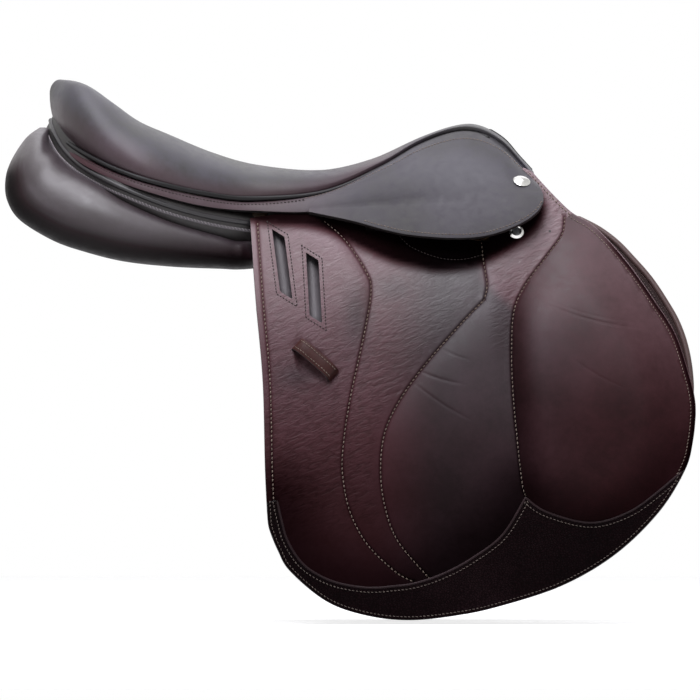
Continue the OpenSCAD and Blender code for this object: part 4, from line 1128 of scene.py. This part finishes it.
def skirt_shade(flat):
    """How the skirt's leather darkens to the rear of its tail, with a painted highlight in colour and shine
    on the middle of its lobe.
    """
    x = flat[:, 0]
    # Painted highlight: the shade rises towards the lobe's middle
    toned = SKIRT_SHADE + SHEEN_LIFT * spot(flat, SHEEN_LOBE, SHEEN_LOBE_HALF)
    return np.where(x > 0, toned, SKIRT_SHADE) * (0.5 + 0.5 * smooth_step(x, -200, -110))


def skirt_seams():
    """Stitch rows on the skirt: upper edge, lower edge of the lobe and middle of the tail."""
    front = np.linspace(0.6, FOLD_LAST + 0.2, 160)
    upper = skirt_base(front, np.array([0.12, 0.17, 0.22]))
    x = np.linspace(60, 222, 160)
    lower = skirt_lobe(x, np.array([0.7, 1]))
    away = lower[:, 1] - lower[:, 0]
    away = unit(away)
    edge = lower[:, 1] - LOBE_ROW_IN * away
    outward = np.tile([0, 0.85, 0.4], (len(x), 1))
    rear = np.linspace(FOLD_LAST + 0.2, BASE_LAST - 0.1, 200)
    band = skirt_base(rear, np.array([0.3, 0.4, 0.5]))
    lobe_rows = [(upper[:, 1], grid_normal_row(upper)), (edge + np.array([0, 0.2, 0]), outward)]
    return lobe_rows, (band[:, 1], grid_normal_row(band))


def grid_normal_row(band):
    """Outward normals along the middle of three rows of points."""
    along = np.gradient(band[:, 1], axis=0)
    over = band[:, 2] - band[:, 0]
    normal = np.cross(along, over)
    normal = unit(normal)
    return normal * np.sign(normal[:, 1:2])


def bend_skirt(made):
    """Bakes a piece of the skirt's place into its points."""
    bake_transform(made)


def flap_lines():
    """Sewn lines of the flap, by name."""
    rear = curve(FLAP_REAR) + np.array([REAR_SEAM_IN, 0])
    return {
        "rear": rear[1:-3],
        "thigh": curve(THIGH_SEAM),
        "calf_top": curve(CALF_SEAM_TOP),
        "calf": curve(CALF_SEAM),
        "pad": curve(PAD_SEAM),
        "guard": curve(BAR_GUARD),
    }


FLAP_LINES = flap_lines()


def flap_height(flat):
    """Height of the flap's leather over its plain outer face."""
    height = np.zeros(len(flat))
    nearest = np.full(len(flat), np.inf)
    for place, line in FLAP_LINES.items():
        far, way = line_distance(flat, line)
        nearest = np.minimum(nearest, far)
        height -= (REAR_SEAM_SINK if place == "rear" else SEAM_SINK) * bell(far, SEAM_W)
        height += RIDGE_H * bell(-far * way - RIDGE_AT, RIDGE_W)
    height += SWELL_H * (1 - np.exp(-nearest / SWELL_REACH)) - SWELL_DROP
    return height + thigh_roll(flat) + calf_swell(flat) + creases(flat, FLAP_CREASES) + keeper_hollow(flat)


def thigh_roll(flat):
    """Soft roll behind the upper end of the thigh seam."""
    far, way = line_distance(flat, FLAP_LINES["thigh"])
    behind = np.where(way < 0, far, 0)
    roll = THIGH_ROLL_H * behind / ROLL_REACH * np.exp(1 - behind / ROLL_REACH)
    return roll * smooth_step(flat[:, 1], -100, -45)


def calf_swell(flat):
    """Padded calf panel ahead of the calf seam."""
    far, way = line_distance(flat, FLAP_LINES["calf"])
    ahead = np.where(way > 0, far, 0)
    swell = CALF_SWELL_H * (1 - np.exp(-ahead / ROLL_REACH))
    return swell * (1 - smooth_step(flat[:, 0], 140, 190)) * smooth_step(-flat[:, 1], 70, 120)


def crease_line(start, end):
    """Line of a crease, sagging a little between its ends."""
    along = np.linspace(0, 1, 16)[:, None]
    start, end = np.array(start, float), np.array(end, float)
    sag = 0.04 * np.linalg.norm(end - start) * np.sin(math.pi * along)
    return start + along * (end - start) - sag * np.array([0, 1])


def creases(flat, lines):
    """Fine creases between pairs of points, deepest at their middles."""
    height = np.zeros(len(flat))
    for start, end, depth in lines:
        way = np.array(end, float) - start
        along = np.clip(((flat - start) @ way) / (way @ way), 0, 1)
        far, _ = line_distance(flat, crease_line(start, end))
        taper = 4 * along * (1 - along)
        height += depth * taper * (0.4 * bell(far - 2.6, 1.6) - bell(far, 1.1))
    return height


def flap_tone(flat):
    """Where the flap's leather is charcoal: calf panel and strip before the knee pad, with grey spots of
    painted sheen.
    """
    x, z = flat[:, 0], flat[:, 1]
    limit = 172 + 43 * smooth_step(-z, 40, 95)
    tone = smooth_step(x, 60, 135) * (1 - smooth_step(x - limit, -12, 8))
    # Painted sheen: grey spots where a bluish reflection lies
    for middle, half in SHEEN_SPOTS:
        tone = np.maximum(tone, 0.7 * spot(flat, middle, half))
    return tone


def flap_shade(flat):
    """Painted shade on the flap: darker downwards and towards the wear patch, a painted shadow under the
    skirt, painted shade in the seams' grooves, and a little darker before the knee pad.
    """
    far, _ = line_distance(flat, PATCH_UPPER)
    # Painted shadow below the skirt's lower edge
    covered, above = line_distance(flat, curve(SKIRT_SHADOW_LINE))
    shown = 0.05 + 0.95 * smooth_step(-covered * above, -3, 9)
    down = -flat[:, 1]
    # Painted shade: darker downwards, where less light falls
    fade = (1 - 0.36 * smooth_step(down, 20, 120)) * (1 - 0.62 * smooth_step(down, 60, 290))
    # Painted shade in the grooves of the sewn lines
    sewing = np.min([line_distance(flat, line)[0] for line in FLAP_LINES.values()], axis=0)
    sunk = 1 - 0.45 * bell(sewing, 1.7)
    before_pad = spot(flat, (192, -80), (20, 40))
    return fade * (0.35 + 0.65 * smooth_step(far, 0, 60)) * shown * sunk * (1 - 0.25 * before_pad)


def flap_crease(flat):
    """Where the flap is finely wrinkled: behind the calf seam and at its top front."""
    far, way = line_distance(flat, np.vstack([FLAP_LINES["calf_top"], FLAP_LINES["calf"]]))
    rear = smooth_step(flat[:, 0], -36, -28)
    low = 0.35 + 0.65 * smooth_step(-flat[:, 1], 20, 150) - smooth_step(-flat[:, 1], 240, 300)
    before_pad = 0.8 * smooth_step(flat[:, 0], 168, 182) * smooth_step(flat[:, 1], -125, -85)
    behind_calf = np.where(way < 0, smooth_step(far, 0, 14), 0.05) * rear * np.maximum(low, 0)
    return np.maximum(behind_calf, before_pad)


def flap_marks(made):
    """Marks for the tone, painted shade and wrinkles of the flap's leather."""
    mark(made, "tone", flap_tone)
    mark(made, "shade", flap_shade)
    mark(made, "crease", flap_crease)


def keeper_hollow(flat):
    """Hollow in the leather beside the keeper loop, where a strap goes in, and the slits for its ends."""
    along = np.array([math.cos(KEEPER_SLANT), -math.sin(KEEPER_SLANT)])
    below = np.array([along[1], -along[0]])
    from_loop = flat - np.array(KEEPER_AT)
    a = from_loop @ along / (0.5 * KEEPER_L)
    b = from_loop @ below / HOLLOW_W
    lens = np.clip(1 - a ** 2, 0, 1) - np.abs(b)
    hollow = -HOLLOW_DEPTH * smooth_step(lens, -0.05, 0.3) * (b > -0.38)
    rim = HOLLOW_RIM_H * bell(lens + 0.15, 0.14) * (b > 0) * smooth_step(1 - np.abs(a), 0, 0.3)
    slits = -SLIT_DEPTH * bell(np.abs(a) - 1, 0.06) * (np.abs(b) < 0.42)
    return hollow + rim + slits


def flap(name, side):
    """Flap leather in one piece, from its fixed head past the fold line to its lower edge."""
    slots = [slot_loop(i) for i in range(len(SLOT_CORNERS))]
    lines = list(FLAP_LINES.values()) + [crease_line(start, end) for start, end, _ in FLAP_CREASES]
    flat, faces = cut_sheet([flap_loop_with_notch()] + slots, lines, step=3.2)
    made = piece("flap_leather_" + name, on_flap(flat), faces, [FLAP, EDGE], side)
    thicken(made, FLAP_T - 0.6)
    flap_marks(made)
    bend_flap(made)
    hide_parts("flap_" + name, "flap_head_" + name)
    front = curve(FLAP_FRONT)
    high = front[:, 1] > 4
    front = front[high] + FRONT_ROW_IN * sideways(front)[high]
    rows = [front] + [line for place, line in FLAP_LINES.items() if place != "guard"]
    runs = [flap_run(spaced(row, 1.5)) for row in rows]
    bend_flap(sewn("flap_stitches_" + name, runs, side, TAN, FLAP_STITCH))
    around = [flap_run(spaced(closed(grown(loop, SLOT_ROW_OUT)), 1.5)) for loop in slots]
    # The bar guard's stitches take the dark thread as painted shade, lying in the skirt's shadow
    around.append(flap_run(FLAP_LINES["guard"]))
    bend_flap(sewn("slot_stitches_" + name, around, side, DARK, SLOT_STITCH))
    ring = np.array(TACK_HOLE) + circle(TACK_R)
    hole = piece("tack_hole_" + name, on_flap(ring, TACK_LIFT), [list(range(len(ring)))], [EDGE], side)
    bend_flap(hole)


def flap_loop_with_notch():
    """Flap outline with the notch round the stirrup bar taken out of its top."""
    rear_low, rear_high, front_high, front_low = NOTCH
    top = FLAP_TOP[:4] + [(front_high[0], 22.8), front_low, rear_low, (rear_high[0], 20.6)] + FLAP_TOP[5:-1]
    return np.vstack([FLAP_EDGE[:-1], top])


def grown(loop, distance):
    """Four-cornered loop moved outwards by a distance."""
    centre = loop.mean(axis=0)
    sides = []
    for a, b in zip(loop, np.roll(loop, -1, axis=0)):
        way = (b - a) / np.linalg.norm(b - a)
        out = np.array([-way[1], way[0]])
        out *= np.sign((a - centre) @ out)
        sides.append((a + distance * out, way))
    corners = []
    for (p, d), (q, e) in zip(sides[-1:] + sides[:-1], sides):
        share = np.linalg.solve(np.stack([d, -e], axis=1), q - p)[0]
        corners.append(p + share * d)
    return np.array(corners)


def on_flap(flat, lift=0):
    """Points of the side view on the flap's leather, or a little above it."""
    return on_barrel(flat, FLAP_OUT + flap_height(flat) + lift)


def flap_run(line):
    """Stitch run on the flap along a line of the side view."""
    return on_flap(line, STITCH_LIFT), barrel_normal(line, FLAP_OUT)


def bend_flap(made):
    """Bakes a piece of the flap's place into its points."""
    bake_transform(made)


def patch_loop():
    """Wear patch outline along the flap's edge, and its upper edge from the rear to the front."""
    upper = np.vstack([[PATCH_TAB], curve(PATCH_REAR)[:-1], PATCH_LINE])
    rim = spaced(FLAP_EDGE, RIM_STEP)
    below = rim[rim[:, 1] < np.interp(rim[:, 0], upper[:, 0], upper[:, 1])]
    upper = upper[inside(upper, FLAP_LOOP)]
    return np.vstack([below, upper[::-1]]), upper


PATCH_LOOP, PATCH_UPPER = patch_loop()
PATCH_OUT = FLAP_OUT + PATCH_T + 0.9


def wear_patch(name, side):
    """Grained leather along the flap's lower edge, with piping and stitches."""
    flat, faces = cut_sheet([PATCH_LOOP], [], step=4)
    far, _ = line_distance(flat, PATCH_UPPER)
    swell = 0.5 * (1 - np.exp(-far / 5))
    made = piece("wear_patch_leather_" + name, on_barrel(flat, PATCH_OUT + swell), faces, [PATCH, EDGE], side)
    thicken(made, PATCH_T, 0.7)
    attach(made, "flap_" + name)
    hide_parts("wear_patch_" + name)
    upper = spaced(PATCH_UPPER, 2)
    piping = tube("patch_piping_" + name, on_barrel(upper, PATCH_OUT - 0.2), PIPING_R, [PIPING], side)
    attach(piping, "flap_" + name)
    rim = spaced(PATCH_LOOP[:len(PATCH_LOOP) - len(PATCH_UPPER)], 2)
    rows = [upper - UPPER_ROW_IN * sideways(upper), rim + RIM_ROW_IN * sideways(rim)]
    runs = [patch_run(row[within(row, [PATCH_LOOP])]) for row in rows]
    sewing = sewn("patch_stitches_" + name, runs, side, DUN, PATCH_STITCH)
    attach(sewing, "flap_" + name)


def pad_loop():
    """Knee pad outline: the pad seam, the patch's edge and the flap's front edge."""
    seam = FLAP_LINES["pad"] + PAD_SEAM_GAP * sideways(FLAP_LINES["pad"])
    patch = PATCH_LINE
    rim = spaced(FLAP_RIM, RIM_STEP)
    rim = rim + PAD_RIM_GAP * sideways(rim)
    rim = rim[rim[:, 1] > np.interp(rim[:, 0], patch[:, 0], patch[:, 1]) + PAD_PATCH_GAP]
    rim = rim[(rim[:, 0] > seam[0, 0] + 4) & (rim[:, 1] < PAD_END_Z)]
    patch = patch[(patch[:, 0] > seam[-1, 0] + 1) & (patch[:, 0] < rim[0, 0] - 1)]
    return np.vstack([seam, patch + np.array([0, PAD_PATCH_GAP]), rim])


def pad_gaps(flat):
    """Distances of points on the knee pad from its seam, the wear patch and the flap's rim."""
    return [line_distance(flat, line)[0] for line in (FLAP_LINES["pad"], PATCH_LINE, FLAP_RIM)]


def pad_height(flat):
    """Height of the knee pad: full behind the seam and over the patch, fading to the front and the top."""
    seam, patch, rim = pad_gaps(flat)
    swell = (1 - np.exp(-seam / 13)) * (1 - np.exp(-patch / 16)) * smooth_step(rim, 2, 50) ** 0.8
    return PAD_H * swell * smooth_step(-flat[:, 1], -25, 95) + creases(flat, PAD_CREASES)


def pad_shade(flat):
    """Painted shade on the pad: darker downwards, beside its seam and towards the wear patch; its margin
    along the flap's rim is darker too.
    """
    seam, patch, rim = pad_gaps(flat)
    low = 1 - 0.4 * (1 - smooth_step(seam, 0, 30)) * smooth_step(-flat[:, 1], 20, 90)
    margin = 1 - 0.8 * (1 - smooth_step(rim, 2.5, 5)) * smooth_step(-flat[:, 1], -5, 25)
    fade = 0.9 * (1 - 0.55 * smooth_step(-flat[:, 1], 20, 190))
    return fade * low * margin * (0.5 + 0.5 * smooth_step(patch, 0, 45))


def pad_tone(flat):
    """Where the pad's leather is charcoal: low down, near its seam."""
    return 0.5 * (1 - smooth_step(flat[:, 0], 205, 290)) * smooth_step(-flat[:, 1], 40, 110)


def knee_pad(name, side):
    """Padded knee roll on the flap's front, with soft creases and an edge stitch."""
    lines = [crease_line(start, end) for start, end, _ in PAD_CREASES]
    flat, faces = cut_sheet([pad_loop()], lines, step=3.2)
    top = on_barrel(flat, FLAP_OUT + PAD_TOP + pad_height(flat))
    under = on_barrel(flat, FLAP_OUT + PAD_UNDER)
    made = closed_sheet("knee_pad_leather_" + name, faces, top, under, [PAD, EDGE], side)
    mark(made, "tone", pad_tone)
    mark(made, "shade", pad_shade)
    bend_flap(made)
    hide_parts("knee_pad_" + name)
    rim = spaced(FLAP_RIM, 2)
    row = rim + PAD_ROW_IN * sideways(rim)
    row = row[within(row, [pad_loop()])]
    run = on_barrel(row, FLAP_OUT + PAD_ROW_H + pad_height(row)), barrel_normal(row, FLAP_OUT)
    sewing = sewn("pad_stitches_" + name, [run], side, TAN, PAD_STITCH)
    bend_flap(sewing)


def closed_sheet(name, faces, top, under, materials, side):
    """Closed solid between two sheets of points with the same faces."""
    count = len(top)
    edges = {(f[k], f[(k + 1) % len(f)]) for f in faces for k in range(len(f))}
    walls = [[b, a, a + count, b + count] for a, b in sorted(edges) if (b, a) not in edges]
    below = [[k + count for k in f[::-1]] for f in faces]
    made = piece(name, np.vstack([top, under]), [list(f) for f in faces] + below + walls, materials, side)
    made.data.polygons.foreach_set("material_index", [0] * (2 * len(faces)) + [1] * len(walls))
    return made


def patch_run(line):
    """Stitch run on the wear patch along a line of the side view."""
    return on_barrel(line, PATCH_OUT + 0.65), barrel_normal(line, PATCH_OUT)


def keeper_place(along, across, lift):
    """Points on the keeper's strap from its own length, width and height."""
    flat = np.array(KEEPER_AT)
    middle = on_barrel(flat, FLAP_OUT)
    normal = barrel_normal(flat, FLAP_OUT)
    way = np.array([math.cos(KEEPER_SLANT), 0, -math.sin(KEEPER_SLANT)])
    way -= (way @ normal) * normal
    way /= np.linalg.norm(way)
    over = np.cross(way, normal)
    return middle + along[..., None] * way + across[..., None] * over + lift[..., None] * normal


def keeper_lift(along):
    """Height of the keeper's outer face over the flap along its length."""
    share = np.clip(np.abs(2 * along / KEEPER_L), 0, 1)
    return -1 + (KEEPER_RISE + KEEPER_T) * np.sqrt(np.maximum(0, 1 - share ** 5))


def keeper(name, side):
    """Leather loop with two rows of stitches, its ends tucked into the flap."""
    along, across = np.meshgrid(KEEPER_L / 2 * np.sin(np.linspace(-math.pi / 2, math.pi / 2, 61)),
                                np.linspace(-KEEPER_W / 2, KEEPER_W / 2, 17), indexing="ij")
    crown = KEEPER_CROWN * (1 - (2 * across / KEEPER_W) ** 2) - KEEPER_CROWN
    points = keeper_place(along, across, keeper_lift(along) + crown)
    made = piece("keeper_leather_" + name, points, grid_faces(61, 17), [KEEPER, EDGE], side)
    thicken(made, KEEPER_T, 0.8)
    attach(made, "flap_" + name)
    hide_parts("keeper_" + name)
    along = np.linspace(-0.43, 0.43, 60) * KEEPER_L
    runs = []
    for share in (-0.29, 0.29):
        line = keeper_place(along, np.full(60, share * KEEPER_W), keeper_lift(along) - 0.1)
        runs.append((line, np.tile(barrel_normal(np.array(KEEPER_AT), FLAP_OUT), (60, 1))))
    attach(sewn("keeper_stitches_" + name, runs, side, TAN, KEEPER_STITCH), "flap_" + name)


def signed_power(c, power):
    """Power of a number that keeps its sign."""
    return np.sign(c) * np.abs(c) ** power


def panel_rows():
    """Top, widest, lowest and inner points of the panel's sections, from its rear end to its point pocket."""
    rows = []
    for top, wide, outline in PANEL_FAN:
        low = (outline[0], PANEL_LOW * wide[1], outline[1])
        inner = ((top[0] + low[0]) / 2, min(CHANNEL_Y, 0.8 * wide[1]), (top[2] + low[2]) / 2)
        rows.append([top, wide, low, inner])
    for x, middle, half, inner, fall in PANEL_ROWS:
        outer = on_barrel(np.array([x, middle - fall]), BARREL_R)[1]
        centre = (inner + outer) / 2
        rows.append([(x, centre, middle + half), (x, outer, middle - fall),
                     (x, centre, middle - half), (x, inner, middle + fall)])
    return np.array(rows).reshape(len(rows), -1)


def panel_section(row, turn):
    """Ring of the panel through its four points, held against the sweat flap where that covers it."""
    top, wide, low, inner = row.reshape(4, 3)
    across, up = signed_power(np.cos(turn), PANEL_SQUARE), signed_power(np.sin(turn), PANEL_SQUARE)
    side = np.where(across[:, None] >= 0, wide, inner)
    end = np.where(up[:, None] >= 0, top, low)
    ring = side + (end - side) * np.abs(up)[:, None]
    ring[:, 1] = end[:, 1] + (side[:, 1] - end[:, 1]) * np.abs(across)
    if wide[0] > PANEL_FLAP_X:
        ring[:, 1] = np.minimum(ring[:, 1], on_barrel(ring[:, ::2], BARREL_R)[:, 1] - 0.3)
    return ring


def panel_shade(flat):
    """Painted shade on the panel: darker and less shiny towards its underside."""
    outline = curve([low for _, _, low in PANEL_FAN][3:])
    far, _ = line_distance(flat, outline)
    return 0.1 + 0.9 * smooth_step(far, 3, 34)


def panel(name, side):
    """Stuffed panel with round ends and a gusset seam along its side."""
    turn = full_turn(96)
    rings = [panel_section(row, turn) for row in curve(panel_rows(), 8)]
    centre = rings[-1].mean(axis=0)
    caps = [centre + (rings[-1] - centre) * share + np.array([reach, 0, 0])
            for share, reach in PANEL_CAPS]
    tip = rings[0].mean(axis=0) + 0.02 * (rings[0] - rings[0].mean(axis=0))
    points = np.array([tip] + rings + caps)
    middle = points.mean(axis=1, keepdims=True)
    seam = bell(turn - 2 * math.pi + GUSSET_AT, GUSSET_W)[None, :, None]
    seamed = smooth_step(-points[:, :1, :1], 40, 70)
    points = points + GUSSET_SINK * seam * seamed * (middle - points)
    faces = grid_faces(len(points), len(turn), wrap=True)
    made = piece("panel_leather_" + name, points, faces, [PANEL], side)
    mark(made, "tone", lambda flat: np.zeros(len(flat)))
    mark(made, "shade", panel_shade)
    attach(made, "saddle")
    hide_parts("panel_" + name)


def facing_rows(u):
    """Rows of the facing strip from its lower edge to where it laps under the tree."""
    p, rail = catmull(FACING_LINE, u), catmull(TREE_EDGE, u)
    inward = rail - p[:, :2] - np.array([0, 1e-6])
    inward = unit(inward)
    level = np.hstack([inward, np.zeros((len(u), 1))])
    rear = smooth_step(u, 3.5, 6.5)[:, None]
    tuck = p - (FACING_H / 2 + FACING_TUCK_DOWN) * UP + FACING_TUCK_IN * level
    lip = p + (FACING_H / 2 + FACING_LIP - rear) * UP + (FACING_LIP + rear) * level
    tree_top = curve(TREE_TOP)

    def under(flat):
        z = np.interp(flat[:, 0], tree_top[:, 0], tree_top[:, 1]) - FACING_UNDER
        return np.hstack([flat, z[:, None]])

    shares = (-0.5, -0.25, 0, 0.25, 0.5)
    strip = [p + FACING_H * s * UP + (s + 0.5) * FACING_LEAN * rear * level for s in shares]
    laps = [under(rail + lap * inward) for lap in FACING_LAPS]
    return np.stack([tuck] + strip + [lip] + laps, axis=1)


def facing():
    """Facing strip round the back of the saddle, with a dark bead and a stitched lower half."""
    u = np.linspace(0, len(FACING_LINE) - 1, 120)
    left = facing_rows(u)
    both = np.concatenate([left, left[-2::-1] * MIRROR])
    made = piece("facing_leather", both, [f[::-1] for f in grid_faces(*both.shape[:2])], [FACING, EDGE, EDGE])
    # Only the stitched lower band keeps the facing's colour; the rest takes the black edge paint, painted
    # shade on the tuck, the strip under the bead, the lip and the laps
    column = np.tile(np.arange(both.shape[1] - 1), len(both) - 1)
    made.data.polygons.foreach_set("material_index", np.where(column == 1, 0, 1).astype(np.int32))
    thicken(made, FACING_T, 0.9)
    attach(made, "saddle")
    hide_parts("panel_facing")
    out = np.cross(np.gradient(both[:, 3], axis=0), [0, 0, -1])
    out = unit(out)
    bead = tube("facing_bead", both[:, 4] + 0.9 * out, FACING_BEAD_R, [ROLL])
    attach(bead, "saddle")
    line = (both[:, 1] + 2 * both[:, 2]) / 3 + 0.2 * out
    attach(sewn("facing_stitches", [(line, out)], 1, PALE, FACING_STITCH, lean=40), "saddle")


def sweat_flap(name, side):
    """Sweat flap under the flap, with a rolled binding ahead of it."""
    loop = np.vstack([curve(SWEAT_FRONT)[:-1], curve(SWEAT_BOTTOM)[:-1], SWEAT_REAR, SWEAT_TOP])
    flat, faces = cut_sheet([loop], [], step=6)
    made = piece("sweat_flap_leather_" + name, on_barrel(flat, SWEAT_OUT), faces, [SWEAT, EDGE], side)
    thicken(made, SWEAT_T, 0.9)
    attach(made, "saddle")
    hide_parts("sweat_flap_" + name)
    edge = spaced(curve(SWEAT_FRONT), 3)
    rolled = on_barrel(edge + (BINDING_R + 0.2) * sideways(edge), BARREL_R + SWEAT_T / 2)
    binding = tube("sweat_binding_roll_" + name, rolled, BINDING_R, [BINDING], side)
    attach(binding, "saddle")
    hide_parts("sweat_binding_" + name)
    run = on_barrel(edge - 2.6 * sideways(edge), SWEAT_OUT + 0.2), barrel_normal(edge, SWEAT_OUT)
    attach(sewn("sweat_stitches_" + name, [run], side, BROWN, SWEAT_STITCH), "saddle")


def billet_turned(points):
    """Points of a strap turned by its slant."""
    c, s = math.cos(BILLET_SLANT), math.sin(BILLET_SLANT)
    return points @ np.array([[c, s], [-s, c]])


def slot_fall(flat, place):
    """How far a strap falls away beside the middle of the slot it shows through."""
    loop = slot_loop(["rear", "front"].index(place))
    middle = np.array([loop[:2].mean(axis=0), loop[2:].mean(axis=0)])
    far, _ = line_distance(flat, middle)
    return BILLET_FALL * smooth_step(far, 2.5, 7) * (1 - smooth_step(far, 14, 24))


def billet(place, name, side):
    """Girth strap with a crowned face, buckle holes and an edge stitch."""
    x = BILLET_XS[place]
    pivot = np.array([x, BILLET_PIVOT_Z - x * math.sin(FOLD_SLOPE)])
    half, end = BILLET_W / 2, BILLET_L - BILLET_HEAD
    strap = np.array([(-half, BILLET_HEAD), (half, BILLET_HEAD), (half, BILLET_TIP - end), (half / 2, -end),
                      (-half / 2, -end), (-half, BILLET_TIP - end)], float)
    holes = [circle(HOLE_R) + np.array([0, HOLE_FIRST + k * HOLE_PITCH - end]) for k in range(HOLE_COUNT)]
    flat, faces = cut_sheet([strap] + holes, [], step=4)
    laid = pivot + billet_turned(flat)
    height = -BILLET_SINK - BILLET_CROWN * np.abs(flat[:, 0] / half) ** 2.5 - slot_fall(laid, place)
    which = place + "_" + name
    made = piece("billet_leather_" + which, on_barrel(laid, BILLET_OUT + height), faces, [STRAP, EDGE], side)
    thicken(made, BILLET_T - BILLET_THINNER, 0.7)
    body = "billet_" + which
    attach(made, body)
    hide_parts(body)
    inner = np.array([(-half + 3, 4), (-half + 3, BILLET_TIP - end), (-half / 2 + 1, 3 - end),
                      (half / 2 - 1, 3 - end), (half - 3, BILLET_TIP - end), (half - 3, 4)])
    line = pivot + billet_turned(spaced(inner, 2))
    sunk = BILLET_ROW_SINK + slot_fall(line, place)
    run = on_barrel(line, BILLET_OUT - sunk), barrel_normal(line, BILLET_OUT)
    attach(sewn("billet_stitches_" + which, [run], side, BROWN, BILLET_STITCH), body)


# Stage, in metres

# Camera distance, width of the view at the flap's plane, the view's centre, the floor and the light
CAMERA_FAR = 20.0
VIEW_W = 0.644
VIEW_X = 0.046
VIEW_Z = -0.1104
VIEW_PLANE = -0.12
FLOOR_Z = -0.362
FLOOR_HALF = 4
LAMP_COLOUR = (0.94, 0.935, 1.0)


def build_stage():
    """Camera level with the saddle on its right side, soft light, pale floor and backdrop."""
    scene = bpy.context.scene
    scene.view_settings.view_transform = "Standard"
    camera = bpy.data.cameras.new("camera")
    camera.sensor_width = 36
    camera.lens = 36 * CAMERA_FAR / VIEW_W
    eye = bpy.data.objects.new("camera", camera)
    eye.location = (VIEW_X, VIEW_PLANE - CAMERA_FAR, VIEW_Z)
    eye.rotation_euler = (math.pi / 2, 0, 0)
    scene.collection.objects.link(eye)
    scene.camera = eye
    light_world(scene)
    soft_light("key", (-0.2, -0.3, 2.5), 2.0, 52)
    soft_light("front", (-0.2, -1.7, 2.0), 1.3, 34)
    soft_light("fill", (1.2, -2.4, 0.8), 1.8, 4)
    soft_light("back", (0.2, 1.6, 1.5), 1.6, 8)
    floor()


def background_rays(tree):
    """1 for rays that show the background: straight from the camera, mirrored or through glass."""
    rays = tree.nodes.new("ShaderNodeLightPath")
    shown = rays.outputs["Is Camera Ray"]
    for name in ("Is Glossy Ray", "Is Transmission Ray"):
        either = tree.nodes.new("ShaderNodeMath")
        either.operation = "MAXIMUM"
        tree.links.new(shown, either.inputs[0])
        tree.links.new(rays.outputs[name], either.inputs[1])
        shown = either.outputs[0]
    return shown


def light_world(scene):
    """Even pale light, with a white background behind the object."""
    world = bpy.data.worlds.new("studio")
    scene.world = world
    world.use_nodes = True
    tree = world.node_tree
    strength = tree.nodes.new("ShaderNodeMapRange")
    strength.inputs["To Min"].default_value = 0.06
    strength.inputs["To Max"].default_value = 1.0
    tree.links.new(background_rays(tree), strength.inputs["Value"])
    tree.links.new(strength.outputs["Result"], tree.nodes["Background"].inputs["Strength"])
    tree.nodes["Background"].inputs["Color"].default_value = (1, 1, 1, 1)


def soft_light(name, place, size, power):
    """Square soft light aimed at the saddle."""
    lamp = bpy.data.lights.new(name, "AREA")
    lamp.size = size
    lamp.energy = power
    lamp.color = LAMP_COLOUR
    made = bpy.data.objects.new(name, lamp)
    made.location = place
    made.rotation_euler = (Vector((0.05, 0, -0.1)) - made.location).to_track_quat("-Z", "Y").to_euler()
    bpy.context.scene.collection.objects.link(made)


def floor():
    """Pale floor that fades into the white background and keeps the shadow."""
    material, add, drive = new_material("floor_paper")
    seen = background_rays(material.node_tree)
    colour = ramp(add, seen, [(0, (0.12, 0.12, 0.12)), (1, (0.88, 0.88, 0.88))])
    glow = ranged(add, seen, {"To Max": 0.75})
    drive(Base_Color=colour, Roughness=0.9, Emission_Color=(*WHITE, 1), Emission_Strength=glow)
    mesh = bpy.data.meshes.new("floor")
    corners = [(FLOOR_HALF * x, FLOOR_HALF * y, FLOOR_Z) for x, y in ((-1, -1), (1, -1), (1, 1), (-1, 1))]
    mesh.from_pydata(corners, [], [(0, 1, 2, 3)])
    mesh.materials.append(material)
    made = bpy.data.objects.new("floor", mesh)
    bpy.context.scene.collection.objects.link(made)


def dress_solids():
    """Better materials for the solids that stay as they are."""
    looks = {"steel": STEEL, "silver": SILVER, "tree": WOOD, "web": WEB, "felt": FELT, "foam": FOAM,
             "seat": SEAT, "skirt": SKIRT, "flap": FLAP, "pad": PAD, "patch": PATCH, "panel": PANEL,
             "strap": STRAP, "bead": BEAD}
    for part in frame["record"]["subparts"]:
        shown = frame["nodes"][part["node"]]
        shown.data.materials.clear()
        shown.data.materials.append(looks[part["material_slot"]])


# All pieces together

build_stage()
dress_solids()
seat_cover()
seat_foam()
for side_name, side_way in (("left", 1), ("right", -1)):
    seat_welt(side_name, side_way)
    skirt(side_name, side_way)
    flap(side_name, side_way)
    knee_pad(side_name, side_way)
    wear_patch(side_name, side_way)
    keeper(side_name, side_way)
    panel(side_name, side_way)
    sweat_flap(side_name, side_way)
    billet("front", side_name, side_way)
    billet("rear", side_name, side_way)
facing()
